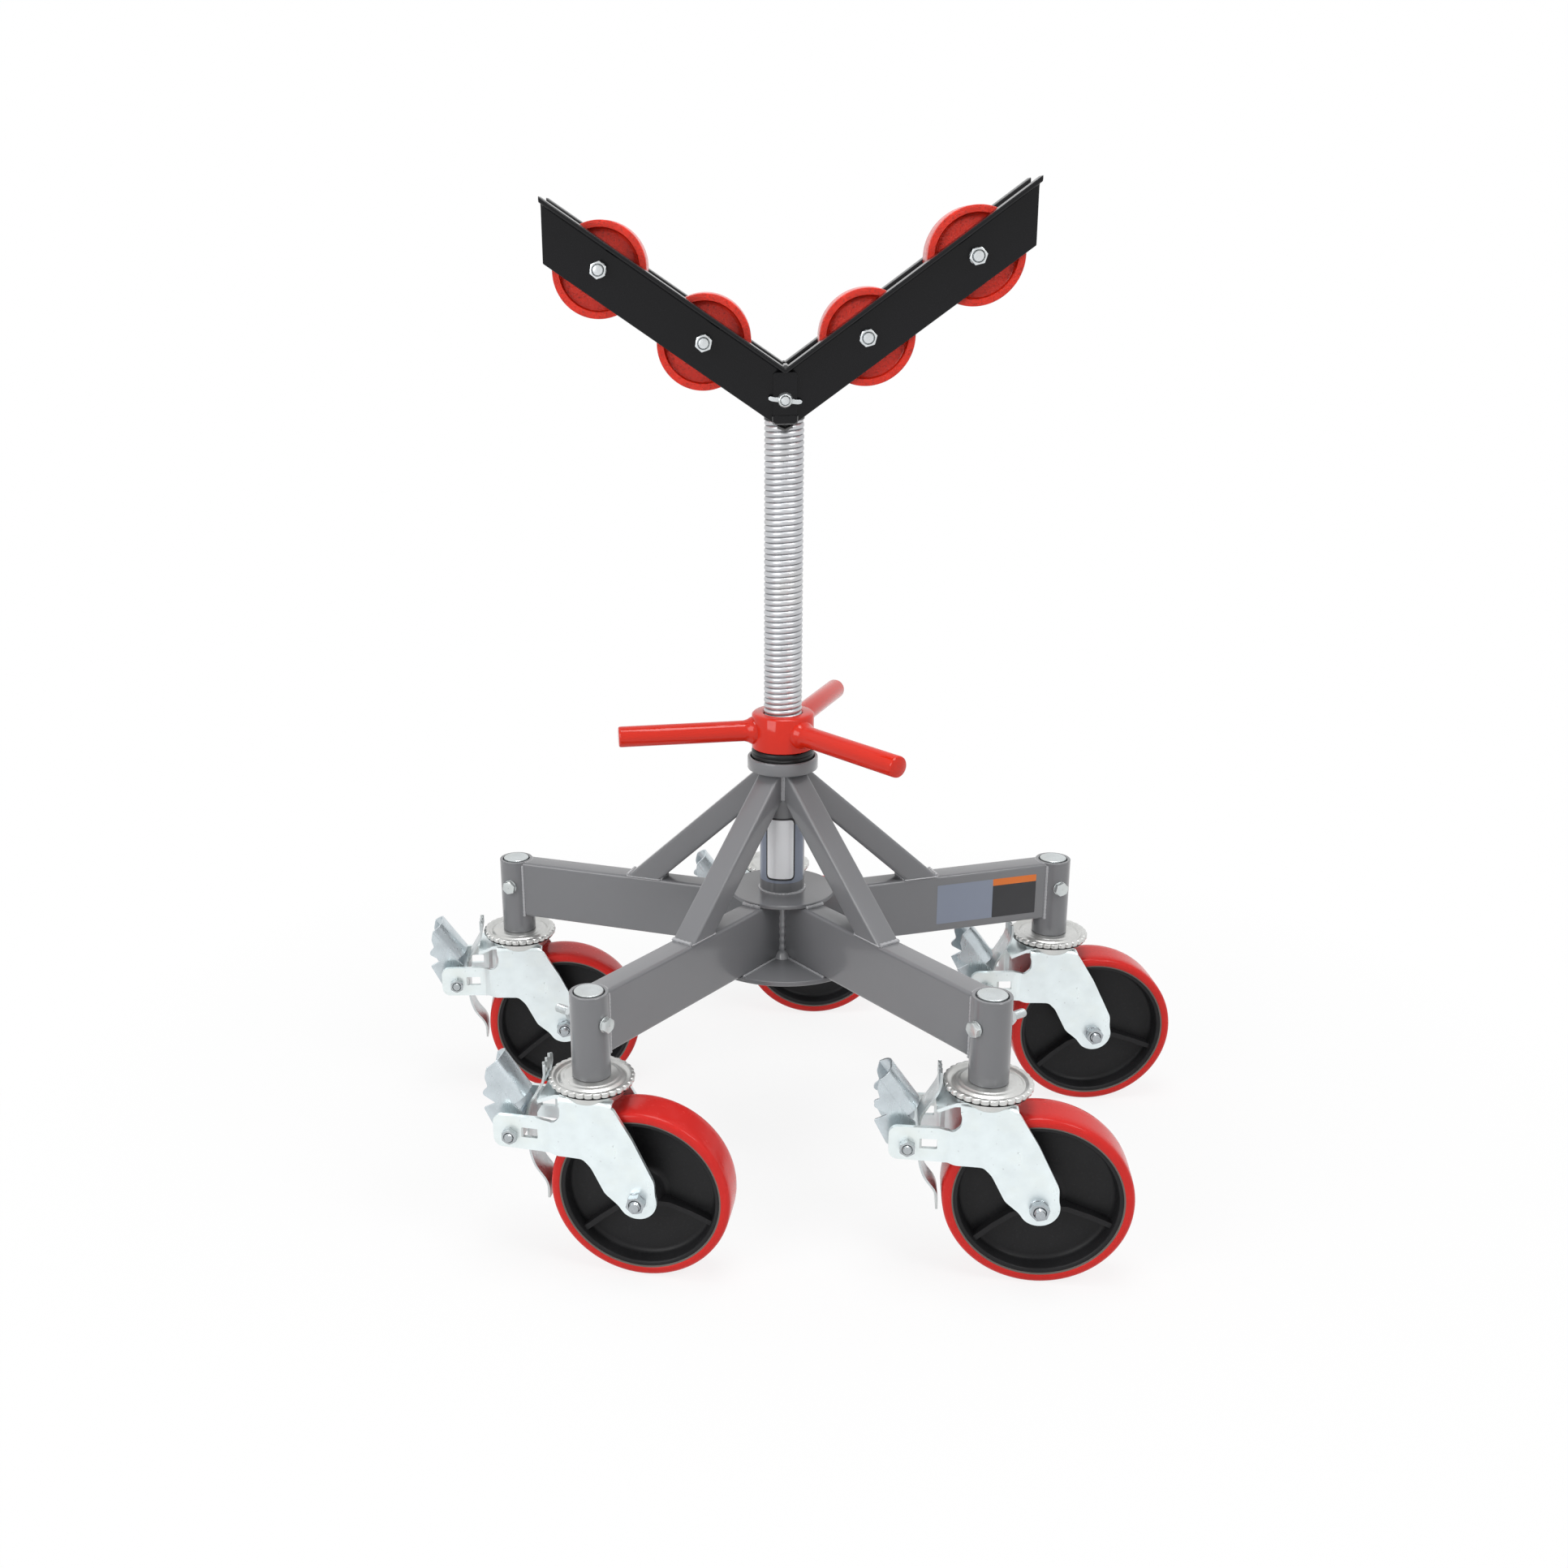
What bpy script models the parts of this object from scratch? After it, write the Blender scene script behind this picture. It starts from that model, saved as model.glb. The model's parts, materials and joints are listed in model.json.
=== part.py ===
"""Five-leg pipe jack stand with a four-roller V head and braked swivel casters.

Metres, +Z up, with the floor at zero height and the origin under the middle of the stand's box.
"""

import math

import bmesh
import bpy
from mathutils import Matrix, Vector

# Clearances
FIT_GAP = 0.0003
CUT_OVERRUN = 0.004
WELD_OVERLAP = 0.001

# Place of the column, off the middle because every caster trails to the right
COLUMN_X = -0.0182
COLUMN_Y = -0.028

# Layout of the legs, with each caster's heading about its own stem
FIRST_LEG_DEG = 18.0
LEG_STEP_DEG = 72.0
LEG_NAMES = ("right", "back", "left", "front_left", "front_right")
CASTER_HEADING_DEG = {
    "right": 4.1,
    "back": 2.0,
    "left": 5.0,
    "front_left": -9.5,
    "front_right": -3.6,
}
LEG_RADIUS = 0.364

# Caster wheel: a cast hub with a bonded tyre
WHEEL_RADIUS = 0.1016
WHEEL_WIDTH = 0.051
TYRE_THICKNESS = 0.0109
TYRE_EDGE = 0.0024
HUB_RIM_WIDTH = 0.047
HUB_RIM_THICKNESS = 0.006
HUB_WEB_THICKNESS = 0.010
HUB_BOSS_RADIUS = 0.026
HUB_BOSS_END_RADIUS = 0.021
HUB_RIB_COUNT = 3
HUB_RIB_THICKNESS = 0.006
HUB_RIB_WIDTH = 0.038
HUB_RIB_FIRST_DEG = -20.0
AXLE_RADIUS = 0.0062
CASTER_TRAIL = 0.056

# Caster fork: a pressed crown with two cheeks, a bearing cup and its two bolts
SHEET = 0.005
CHEEK_GAP = 0.062
CROWN_CLEARANCE = 0.0138
FORK_TIP_RADIUS = 0.022
FORK_FRONT_SHARES = ((0.55, 1.0), (1.357, 0.568))
FORK_TIP_ARC_DEG = (10.0, -130.0)
FORK_REAR_SHARES = (
    (0.357, 0.482),
    (0.09, 0.619),
    (-0.07, 0.662),
    (-0.607, 0.667),
    (-0.82, 0.692),
    (-1.77, 0.694),
    (-1.875, 0.739),
    (-1.875, 0.847),
    (-1.786, 0.872),
    (-0.875, 0.872),
    (-0.66, 0.845),
    (-0.5, 0.883),
    (-0.518, 0.955),
    (-0.6, 0.977),
    (-1.18, 0.977),
    (-1.18, 1.0),
)
CROWN_LENGTH_SHARES = (-0.84, 0.55)
EAR_SLOT_LENGTH = 0.019
CUP_RADIUS = 0.036
CUP_HEIGHT = 0.0055
CUP_ROUND = 0.002
NUT_FLATS = 0.019
NUT_HEIGHT = 0.010
BOLT_HEAD_HEIGHT = 0.008
STUD_END = 0.006
EAR_BOLT_RADIUS = 0.005
EAR_NUT_FLATS = 0.016
EAR_NUT_HEIGHT = 0.008
EAR_BOLT_SHARES = (-1.518, 0.766)

# Caster stem with its toothed swivel ring and cross bolt
STEM_RADIUS = 0.0173
STEM_RISE = 0.0015
STEM_CHAMFER = 0.0015
KINGPIN_RADIUS = 0.008
KINGPIN_HEAD_RADIUS = 0.012
KINGPIN_HEAD_HEIGHT = 0.005
RING_RADIUS = 0.048
RING_TOOTH_DEPTH = 0.0022
RING_TEETH = 30
RING_THICKNESS = 0.0035
RING_LIFT = 0.0015
RING_DISH_RADIUS = 0.033
RING_DISH_TOP_RADIUS = 0.029
RING_DISH_HEIGHT = 0.0066
CROSS_BOLT_RADIUS = 0.005
CROSS_BOLT_FLATS = 0.016
CROSS_BOLT_HEAD = 0.0065
CROSS_BOLT_DROP = 0.033

# Brake pedal and the sliding strap that it pushes
PEDAL_LENGTH = 0.075
PEDAL_WIDTH = 0.044
PEDAL_SHEET = 0.0025
PEDAL_TOP_SHARES = ((-0.227, 1.053), (0.173, 0.493))
PEDAL_SIDE_SHARES = (
    (0.107, 0.266),
    (0.12, 0.026),
    (0.013, -0.094),
    (-0.293, -0.094),
    (-0.453, 0.213),
    (-0.48, 0.36),
    (-0.28, 0.4),
    (-0.413, 0.72),
    (-0.40, 0.973),
)
STRAP_SHEET = 0.0025
STRAP_WIDTH = 0.032
STRAP_TRAVEL = 0.0012
STRAP_BACK_SHARE = -1.268
STRAP_TAB_HEIGHT = 0.0114
STRAP_TAB_CENTRE_SHARE = 0.786
STRAP_TONGUE_TOP = 0.033
STRAP_KNEE_SHARES = (0.975, 0.865, 0.63, 0.54)
STRAP_KNEE_REACH_SHARE = 0.25
STRAP_SHOE_DROP = 0.021
SHOE_CLEARANCE = 0.0010

# Leg: a rectangular tube welded to the socket that takes the caster stem
SOCKET_RADIUS = 0.0216
SOCKET_LENGTH = 0.099
LEG_WIDTH = 0.030
LEG_DEPTH = 0.075
LEG_WALL = 0.003
LEG_BELOW_SOCKET = 0.0005
TUBE_CORNER = 0.003

# Column, plates and braces
COLUMN_RADIUS = 0.027
COLUMN_WALL = 0.0035
COLUMN_BELOW_PLATE = 0.007
COLUMN_ABOVE_LEG = 0.1603
UPPER_PLATE_RADIUS = 0.064
UPPER_PLATE_THICKNESS = 0.005
LOWER_PLATE_RADIUS = 0.105
LOWER_PLATE_THICKNESS = 0.006
BRACE_DEPTH = 0.030
BRACE_WALL = 0.0025
BRACE_FOOT_RADIUS = 0.200

# Collar, thrust ring and handle nut
COLLAR_RADIUS = 0.042
COLLAR_HEIGHT = 0.0153
COLLAR_RIM = 0.004
COLLAR_FLOOR = 0.0075
COLLAR_CHAMFER = 0.0012
THRUST_RING_RADIUS = 0.0372
THRUST_RING_HEIGHT = 0.0182
NUT_HUB_RADIUS = 0.0368
NUT_HUB_HEIGHT = 0.0428
NUT_HUB_CHAMFER = 0.002
HANDLE_RADIUS = 0.0125
HANDLE_REACH = 0.197
HANDLE_END_ROUND = 0.0015
HANDLE_WELD_RADIUS = 0.0165
HANDLE_WELD_LENGTH = 0.009
HANDLE_COUNT = 3
HANDLE_FIRST_DEG = -51.3

# Screw
THREAD_RADIUS = 0.0225
THREAD_DEPTH = 0.0018
THREAD_PITCH = 0.0066
THREAD_LENGTH = 0.484
THREAD_CLEARANCE = 0.0005
THREAD_SPARE_TURNS = 3
SCREW_BORE_RADIUS = 0.014
SCREW_BELOW_NUT = 0.100
NECK_RADIUS = 0.018
NECK_LENGTH = 0.048

# V head
HEAD_SLOPE_DEG = 35.3
HEAD_HALF_SPAN = 0.263
ANGLE_DEPTH = 0.0565
ANGLE_FLANGE = 0.026
ANGLE_SHEET = 0.005
HEAD_SOCKET_RADIUS = 0.0257
HEAD_SOCKET_FOOT_RADIUS = 0.0228
HEAD_SOCKET_HEIGHT = 0.0535
HEAD_SOCKET_FOOT = 0.010
HEAD_SOCKET_DROP = 0.0593
STRAP_PLATE_WIDTH = 0.0265
STRAP_PLATE_LENGTH = 0.0541
STRAP_PLATE_DROP = 0.004
STRAP_PLATE_SHEET = 0.005
STRAP_PLATE_CORNER = 0.006
CLAMP_DROP = 0.0346
CLAMP_RADIUS = 0.005
CLAMP_END = 0.003
WING_HUB_RADIUS = 0.0078
WING_HUB_LENGTH = 0.010
WING_SPAN = 0.038
WING_THICKNESS = 0.003
WING_SHARES = ((0.0, -0.10), (0.28, -0.13), (0.5, -0.04), (0.5, 0.10), (0.3, 0.09), (0.0, 0.12))

# Rollers and their axles
ROLLER_RADIUS = 0.052
ROLLER_WIDTH = 0.048
ROLLER_RIM = 0.008
ROLLER_RECESS = 0.006
ROLLER_WEB_RADIUS = 0.040
ROLLER_WEB_THICKNESS = 0.040
ROLLER_BOSS_RADIUS = 0.014
ROLLER_AXLE_RADIUS = 0.006
ROLLER_NUT_HEIGHT = 0.011
ROLLER_DROP = 0.0282
ROLLER_FIRST = 0.1089
ROLLER_SPACING = 0.1389

# Facets
COLUMN_SIDES = 24
ROUND_SIDES = 16
SLIM_SIDES = 12
SMALL_SIDES = 8
WHEEL_SIDES = 20
THREAD_SIDES = 10

# Heights, from the floor up
CROWN_TOP = 2 * WHEEL_RADIUS + CROWN_CLEARANCE + SHEET
CUP_TOP = CROWN_TOP + CUP_HEIGHT
RING_FOOT = CUP_TOP + FIT_GAP
RING_TOP = RING_FOOT + RING_DISH_HEIGHT
SOCKET_BOTTOM = RING_TOP + FIT_GAP
SOCKET_TOP = SOCKET_BOTTOM + SOCKET_LENGTH
LEG_TOP = SOCKET_TOP - LEG_BELOW_SOCKET
LEG_BOTTOM = LEG_TOP - LEG_DEPTH
COLUMN_TOP = LEG_TOP + COLUMN_ABOVE_LEG
COLLAR_BOTTOM = COLUMN_TOP + FIT_GAP
COLLAR_SEAT = COLLAR_BOTTOM + COLLAR_FLOOR
THRUST_RING_BOTTOM = COLLAR_SEAT + FIT_GAP
NUT_BOTTOM = THRUST_RING_BOTTOM + THRUST_RING_HEIGHT + FIT_GAP
NUT_MIDDLE = NUT_BOTTOM + NUT_HUB_HEIGHT / 2
SCREW_BOTTOM = NUT_BOTTOM - SCREW_BELOW_NUT
SCREW_SHOULDER = SCREW_BOTTOM + THREAD_LENGTH
HEAD_VERTEX = SCREW_SHOULDER + FIT_GAP + HEAD_SOCKET_DROP

# Radii and offsets that follow from the sizes above
TYRE_INNER = WHEEL_RADIUS - TYRE_THICKNESS
HUB_RADIUS = TYRE_INNER - FIT_GAP
FACET_STRETCH = 1 / math.cos(math.pi / WHEEL_SIDES)
CHEEK_INNER = CHEEK_GAP / 2
CHEEK_OUTER = CHEEK_INNER + SHEET
COLUMN_BORE = COLUMN_RADIUS - COLUMN_WALL
COLUMN_HOLE = COLUMN_RADIUS + FIT_GAP
ROOT_RADIUS = THREAD_RADIUS - THREAD_DEPTH
NUT_BORE = THREAD_RADIUS + THREAD_CLEARANCE
WEB_INNER = HEAD_SOCKET_RADIUS + FIT_GAP
WEB_OUTER = WEB_INNER + ANGLE_SHEET
HEAD_SLOPE = math.radians(HEAD_SLOPE_DEG)
EAR_BOLT_X = EAR_BOLT_SHARES[0] * CASTER_TRAIL
EAR_BOLT_Z = EAR_BOLT_SHARES[1] * CROWN_TOP


# Mesh building
def finished(bm, name):
    """A mesh of the given bmesh, with its faces outward and flat faces kept sharp."""
    bmesh.ops.recalc_face_normals(bm, faces=bm.faces)
    mesh = bpy.data.meshes.new(name)
    bm.to_mesh(mesh)
    bm.free()
    return mesh


def turned(name, profile, sides=ROUND_SIDES, phase_deg=0.0):
    """A (radius, height) profile spun about Z, solid where it starts and ends on the axis."""
    bm = bmesh.new()
    rings = []
    hollow = all(radius > 0 for radius, height in profile)
    for radius, height in profile:
        if radius == 0:
            continue
        ring = []
        for step in range(sides):
            angle = math.radians(phase_deg) + 2 * math.pi * step / sides
            ring.append(bm.verts.new((radius * math.cos(angle), radius * math.sin(angle), height)))
        rings.append(ring)
    if hollow:
        rings.append(rings[0])
    else:
        bm.faces.new(rings[0])
        bm.faces.new(rings[-1])
    for ring, following in zip(rings, rings[1:]):
        for step in range(sides):
            corner = (step + 1) % sides
            bm.faces.new((ring[step], ring[corner], following[corner], following[step]))
    return finished(bm, name)


def plate(name, outline, low, high):
    """An (x, z) outline given thickness along Y, from low to high."""
    bm = bmesh.new()
    near = [bm.verts.new((x, low, z)) for x, z in outline]
    far = [bm.verts.new((x, high, z)) for x, z in outline]
    bm.faces.new(near)
    bm.faces.new(list(reversed(far)))
    for index in range(len(outline)):
        following = (index + 1) % len(outline)
        bm.faces.new((near[index], near[following], far[following], far[index]))
    return finished(bm, name)


def block(name, low, high):
    """A box between two corners."""
    outline = ((low[0], low[2]), (high[0], low[2]), (high[0], high[2]), (low[0], high[2]))
    return plate(name, outline, low[1], high[1])


def moved(mesh, matrix):
    """The mesh, moved by the matrix."""
    mesh.transform(matrix)
    return mesh


def along_y(mesh):
    """A mesh made about Z, laid along Y so that its top points to the front."""
    return moved(mesh, Matrix.Rotation(math.pi / 2, 4, "X"))


def solid_round(name, radius, low, high, sides=ROUND_SIDES):
    """A solid cylinder about Z."""
    return turned(name, ((0, low), (radius, low), (radius, high), (0, high)), sides)


def rod_y(name, radius, low, high, sides=SMALL_SIDES):
    """A solid cylinder along Y."""
    return along_y(solid_round(name, radius, -high, -low, sides))


def across(flats):
    """Corner radius of a hexagon from its width across flats."""
    return flats / 2 / math.cos(math.pi / 6)


def at(mesh, x, y, z):
    """The mesh, moved to a place."""
    return moved(mesh, Matrix.Translation(Vector((x, y, z))))


def combined(operation, base, tools):
    """The base mesh with the tool meshes added to it or cut from it."""
    holder = bpy.data.objects.new("holder", base)
    bpy.context.collection.objects.link(holder)
    helpers = []
    for tool in tools:
        helper = bpy.data.objects.new("helper", tool)
        bpy.context.collection.objects.link(helper)
        modifier = holder.modifiers.new("combine", "BOOLEAN")
        modifier.operation = operation
        modifier.solver = "EXACT"
        modifier.object = helper
        helpers.append(helper)
    depsgraph = bpy.context.evaluated_depsgraph_get()
    mesh = bpy.data.meshes.new_from_object(holder.evaluated_get(depsgraph))
    mesh.name = base.name
    for spare in [holder] + helpers:
        bpy.data.objects.remove(spare)
    return mesh


def joined(base, *tools):
    """The base mesh with the tool meshes welded on."""
    return combined("UNION", base, tools)


def cut(base, *tools):
    """The base mesh with the tool meshes cut away."""
    return combined("DIFFERENCE", base, tools)


def rounded_rectangle(width, depth, corner):
    """Corner-cut outline about the origin, with two points for each corner."""
    half_width, half_depth = width / 2, depth / 2
    return (
        (half_width - corner, -half_depth),
        (half_width, corner - half_depth),
        (half_width, half_depth - corner),
        (half_width - corner, half_depth),
        (corner - half_width, half_depth),
        (-half_width, half_depth - corner),
        (-half_width, corner - half_depth),
        (corner - half_width, -half_depth),
    )


def beam_x(name, width, depth, corner, low, high):
    """A solid bar along X with a corner-cut section, its width on Y and its depth on Z."""
    bar = plate(name, rounded_rectangle(width, depth, corner), -high, -low)
    return moved(bar, Matrix.Rotation(math.pi / 2, 4, "Z"))


# Materials
def finish(name, colour, roughness, metallic):
    """A Principled material."""
    material = bpy.data.materials.new(name)
    material.use_nodes = True
    shader = material.node_tree.nodes["Principled BSDF"]
    shader.inputs["Base Color"].default_value = (*colour, 1)
    shader.inputs["Roughness"].default_value = roughness
    shader.inputs["Metallic"].default_value = metallic
    material.diffuse_color = (*colour, 1)
    return material


def finishes():
    """Every finish on the stand, by name."""
    return {
        "grey_paint": finish("grey_paint", (0.16, 0.165, 0.17), 0.42, 0.0),
        "red_paint": finish("red_paint", (0.62, 0.025, 0.012), 0.28, 0.0),
        "black_paint": finish("black_paint", (0.012, 0.012, 0.014), 0.38, 0.0),
        "zinc": finish("zinc", (0.62, 0.65, 0.66), 0.33, 0.9),
        "screw_zinc": finish("screw_zinc", (0.46, 0.47, 0.48), 0.36, 0.9),
        "black_cast": finish("black_cast", (0.010, 0.010, 0.011), 0.5, 0.0),
        "red_tread": finish("red_tread", (0.50, 0.012, 0.012), 0.25, 0.0),
        "black_seal": finish("black_seal", (0.010, 0.010, 0.010), 0.45, 0.0),
    }


# Placing
def place(name, mesh, material, parent=None, location=(0, 0, 0), turn_deg=0.0, smooth_deg=35.0):
    """An object of the mesh, turned about Z and placed under its parent."""
    if not mesh.materials:
        mesh.materials.append(material)
        mesh.shade_smooth()
        mesh.set_sharp_from_angle(angle=math.radians(smooth_deg))
    piece = bpy.data.objects.new(name, mesh)
    bpy.context.collection.objects.link(piece)
    piece.parent = parent
    piece.location = location
    piece.rotation_euler.z = math.radians(turn_deg)
    return piece


def axis_empty(name, parent=None, location=(0, 0, 0), turn_deg=0):
    """An empty that marks a joint or a frame of its own."""
    empty = bpy.data.objects.new(name, None)
    bpy.context.collection.objects.link(empty)
    empty.parent = parent
    empty.location = location
    empty.rotation_euler.z = math.radians(turn_deg)
    return empty


# Welded frame
def column_mesh():
    """The upright tube."""
    low = LEG_BOTTOM - FIT_GAP - LOWER_PLATE_THICKNESS - COLUMN_BELOW_PLATE
    profile = (
        (COLUMN_BORE, low),
        (COLUMN_RADIUS, low),
        (COLUMN_RADIUS, COLUMN_TOP),
        (COLUMN_BORE, COLUMN_TOP),
    )
    return turned("column", profile, COLUMN_SIDES)


def disc_mesh(name, radius, low, thickness):
    """A round plate with a hole for the column."""
    profile = (
        (COLUMN_HOLE, low),
        (radius, low),
        (radius, low + thickness),
        (COLUMN_HOLE, low + thickness),
    )
    return turned(name, profile, COLUMN_SIDES)


def column_cutter():
    """A plug of the column's outside, which copes the tubes that meet it."""
    low = LEG_BOTTOM - CUT_OVERRUN
    high = COLUMN_TOP + CUT_OVERRUN
    return solid_round("column_cutter", COLUMN_HOLE, low, high, COLUMN_SIDES)


def leg_mesh():
    """A hollow beam, open at the column, welded to the socket at its outer end."""
    middle = (LEG_TOP + LEG_BOTTOM) / 2
    beam = at(beam_x("leg", LEG_WIDTH, LEG_DEPTH, TUBE_CORNER, 0, LEG_RADIUS), 0, 0, middle)
    bore_radius = STEM_RADIUS + FIT_GAP
    socket_profile = (
        (bore_radius, SOCKET_BOTTOM),
        (SOCKET_RADIUS, SOCKET_BOTTOM),
        (SOCKET_RADIUS, SOCKET_TOP),
        (bore_radius, SOCKET_TOP),
    )
    socket = at(turned("socket", socket_profile), LEG_RADIUS, 0, 0)
    inside_width = LEG_WIDTH - 2 * LEG_WALL
    inside_depth = LEG_DEPTH - 2 * LEG_WALL
    inside_end = LEG_RADIUS - SOCKET_RADIUS + WELD_OVERLAP
    inside = beam_x("inside", inside_width, inside_depth, TUBE_CORNER - LEG_WALL / 2, -CUT_OVERRUN, inside_end)
    at(inside, 0, 0, middle)
    plug_radius = (SOCKET_RADIUS + bore_radius) / 2
    plug = solid_round("plug", plug_radius, LEG_BOTTOM - CUT_OVERRUN, LEG_TOP + CUT_OVERRUN)
    at(plug, LEG_RADIUS, 0, 0)
    bolt_reach = SOCKET_RADIUS + CUT_OVERRUN
    bolt_hole = rod_y("bolt_hole", CROSS_BOLT_RADIUS + FIT_GAP, -bolt_reach, bolt_reach)
    at(bolt_hole, LEG_RADIUS, 0, SOCKET_TOP - CROSS_BOLT_DROP)
    beam = cut(beam, column_cutter(), inside, plug)
    return cut(joined(beam, socket), bolt_hole)


def brace_mesh():
    """A hollow square tube from the leg's top up to the column, open at both ends."""
    foot = LEG_TOP + FIT_GAP
    rise = COLUMN_TOP - foot
    run = BRACE_FOOT_RADIUS - COLUMN_RADIUS
    slope = math.atan2(rise, run)
    drop = BRACE_DEPTH / 2 / math.cos(slope)
    reach = math.hypot(rise, run) / 2 + BRACE_DEPTH + LEG_WIDTH
    inside_depth = BRACE_DEPTH - 2 * BRACE_WALL
    inside_width = LEG_WIDTH - 2 * BRACE_WALL
    outer = beam_x("brace", LEG_WIDTH, BRACE_DEPTH, TUBE_CORNER, -reach, reach)
    inside_corner = TUBE_CORNER - BRACE_WALL / 2
    inner = beam_x("inside", inside_width, inside_depth, inside_corner, -reach - CUT_OVERRUN, reach + CUT_OVERRUN)
    middle = Vector((COLUMN_RADIUS + run / 2, 0, foot + rise / 2 - drop))
    lay = Matrix.Translation(middle) @ Matrix.Rotation(slope, 4, "Y")
    moved(outer, lay)
    moved(inner, lay)
    side = LEG_WIDTH
    below = block("below", (-reach, -side, foot - reach), (BRACE_FOOT_RADIUS + reach, side, foot))
    above = block("above", (-reach, -side, COLUMN_TOP), (BRACE_FOOT_RADIUS, side, COLUMN_TOP + reach))
    behind = block("behind", (-reach - CUT_OVERRUN, -side, foot), (0, side, COLUMN_TOP + reach))
    return cut(outer, inner, below, above, behind, column_cutter())


def collar_mesh():
    """The cupped collar on top of the column."""
    top = COLLAR_BOTTOM + COLLAR_HEIGHT
    inner = COLLAR_RADIUS - COLLAR_RIM
    profile = (
        (COLUMN_BORE, COLLAR_BOTTOM),
        (COLLAR_RADIUS, COLLAR_BOTTOM),
        (COLLAR_RADIUS, top - COLLAR_CHAMFER),
        (COLLAR_RADIUS - COLLAR_CHAMFER, top),
        (inner, top),
        (inner, COLLAR_SEAT),
        (COLUMN_BORE, COLLAR_SEAT),
    )
    return turned("collar", profile, COLUMN_SIDES)


def thrust_ring_mesh():
    """The shrouded thrust bearing's ring."""
    low = THRUST_RING_BOTTOM
    high = low + THRUST_RING_HEIGHT
    profile = (
        (COLUMN_BORE, low),
        (THRUST_RING_RADIUS, low),
        (THRUST_RING_RADIUS, high),
        (COLUMN_BORE, high),
    )
    return turned("thrust_ring", profile, COLUMN_SIDES)


# Handle nut and screw
def handle_nut_mesh():
    """The nut's hub with three round bars welded to it, about its own middle."""
    half = NUT_HUB_HEIGHT / 2
    hub_profile = (
        (0, -half),
        (NUT_HUB_RADIUS, -half),
        (NUT_HUB_RADIUS, half - NUT_HUB_CHAMFER),
        (NUT_HUB_RADIUS - NUT_HUB_CHAMFER, half),
        (0, half),
    )
    nut = turned("handle_nut", hub_profile, COLUMN_SIDES)
    root = NUT_HUB_RADIUS - HANDLE_WELD_LENGTH
    bar_profile = (
        (0, root),
        (HANDLE_WELD_RADIUS, root),
        (HANDLE_WELD_RADIUS, NUT_HUB_RADIUS - WELD_OVERLAP),
        (HANDLE_RADIUS, NUT_HUB_RADIUS + HANDLE_WELD_LENGTH),
        (HANDLE_RADIUS, HANDLE_REACH - HANDLE_END_ROUND),
        (HANDLE_RADIUS - HANDLE_END_ROUND, HANDLE_REACH),
        (0, HANDLE_REACH),
    )
    bars = []
    for index in range(HANDLE_COUNT):
        heading = math.radians(HANDLE_FIRST_DEG) + 2 * math.pi * index / HANDLE_COUNT
        bar = turned("bar", bar_profile, SLIM_SIDES)
        bars.append(moved(bar, Matrix.Rotation(heading, 4, "Z") @ Matrix.Rotation(math.pi / 2, 4, "Y")))
    reach = half + CUT_OVERRUN
    bore = solid_round("bore", NUT_BORE, -reach, reach, COLUMN_SIDES)
    return cut(joined(nut, *bars), bore)


def thread_mesh():
    """The thread as one right-hand helix of crests and roots, cut square at both ends."""
    bm = bmesh.new()
    turns = math.ceil(THREAD_LENGTH / THREAD_PITCH) + THREAD_SPARE_TURNS
    crests = []
    roots = []
    for step in range(turns * THREAD_SIDES + 1):
        angle = 2 * math.pi * step / THREAD_SIDES
        height = THREAD_PITCH * (step / THREAD_SIDES - THREAD_SPARE_TURNS / 2)
        across_x, across_y = math.cos(angle), math.sin(angle)
        crests.append(bm.verts.new((THREAD_RADIUS * across_x, THREAD_RADIUS * across_y, height)))
        root_height = height + THREAD_PITCH / 2
        roots.append(bm.verts.new((ROOT_RADIUS * across_x, ROOT_RADIUS * across_y, root_height)))
    for step in range(len(crests) - 1):
        bm.faces.new((crests[step], crests[step + 1], roots[step + 1], roots[step]))
    for step in range(len(crests) - 1 - THREAD_SIDES):
        above = step + THREAD_SIDES
        bm.faces.new((roots[step], roots[step + 1], crests[above + 1], crests[above]))
    for height, normal in ((0, (0, 0, -1)), (THREAD_LENGTH, (0, 0, 1))):
        everything = list(bm.verts) + list(bm.edges) + list(bm.faces)
        bmesh.ops.bisect_plane(
            bm,
            geom=everything,
            dist=FIT_GAP / THREAD_SIDES ** 2,
            plane_co=(0, 0, height),
            plane_no=normal,
            clear_outer=True,
        )
        open_edges = [edge for edge in bm.edges if edge.is_boundary]
        end_edges = [
            edge for edge in open_edges if all(abs(vert.co.z - height) < FIT_GAP for vert in edge.verts)
        ]
        bmesh.ops.contextual_create(bm, geom=end_edges)
    return finished(bm, "screw")


def screw_mesh():
    """The hollow screw, with a plain neck on top for the head's socket."""
    neck_top = THREAD_LENGTH + NECK_LENGTH
    neck_foot = THREAD_LENGTH - CUT_OVERRUN
    neck = solid_round("neck", NECK_RADIUS, neck_foot, neck_top)
    bore = solid_round("bore", SCREW_BORE_RADIUS, -CUT_OVERRUN, neck_top + CUT_OVERRUN, SMALL_SIDES)
    return cut(joined(thread_mesh(), neck), bore)


# V head
def arm_height(x):
    """Height of the V's top edge over its vertex."""
    return abs(x) * math.tan(HEAD_SLOPE)


def v_band(name, depth, low, high):
    """A V-shaped band, depth below the top edge, between two places along Y."""
    drop = depth / math.cos(HEAD_SLOPE)
    end = arm_height(HEAD_HALF_SPAN)
    outline = (
        (-HEAD_HALF_SPAN, end),
        (-HEAD_HALF_SPAN, end - drop),
        (0, -drop),
        (HEAD_HALF_SPAN, end - drop),
        (HEAD_HALF_SPAN, end),
        (0, 0),
    )
    return plate(name, outline, low, high)


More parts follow.
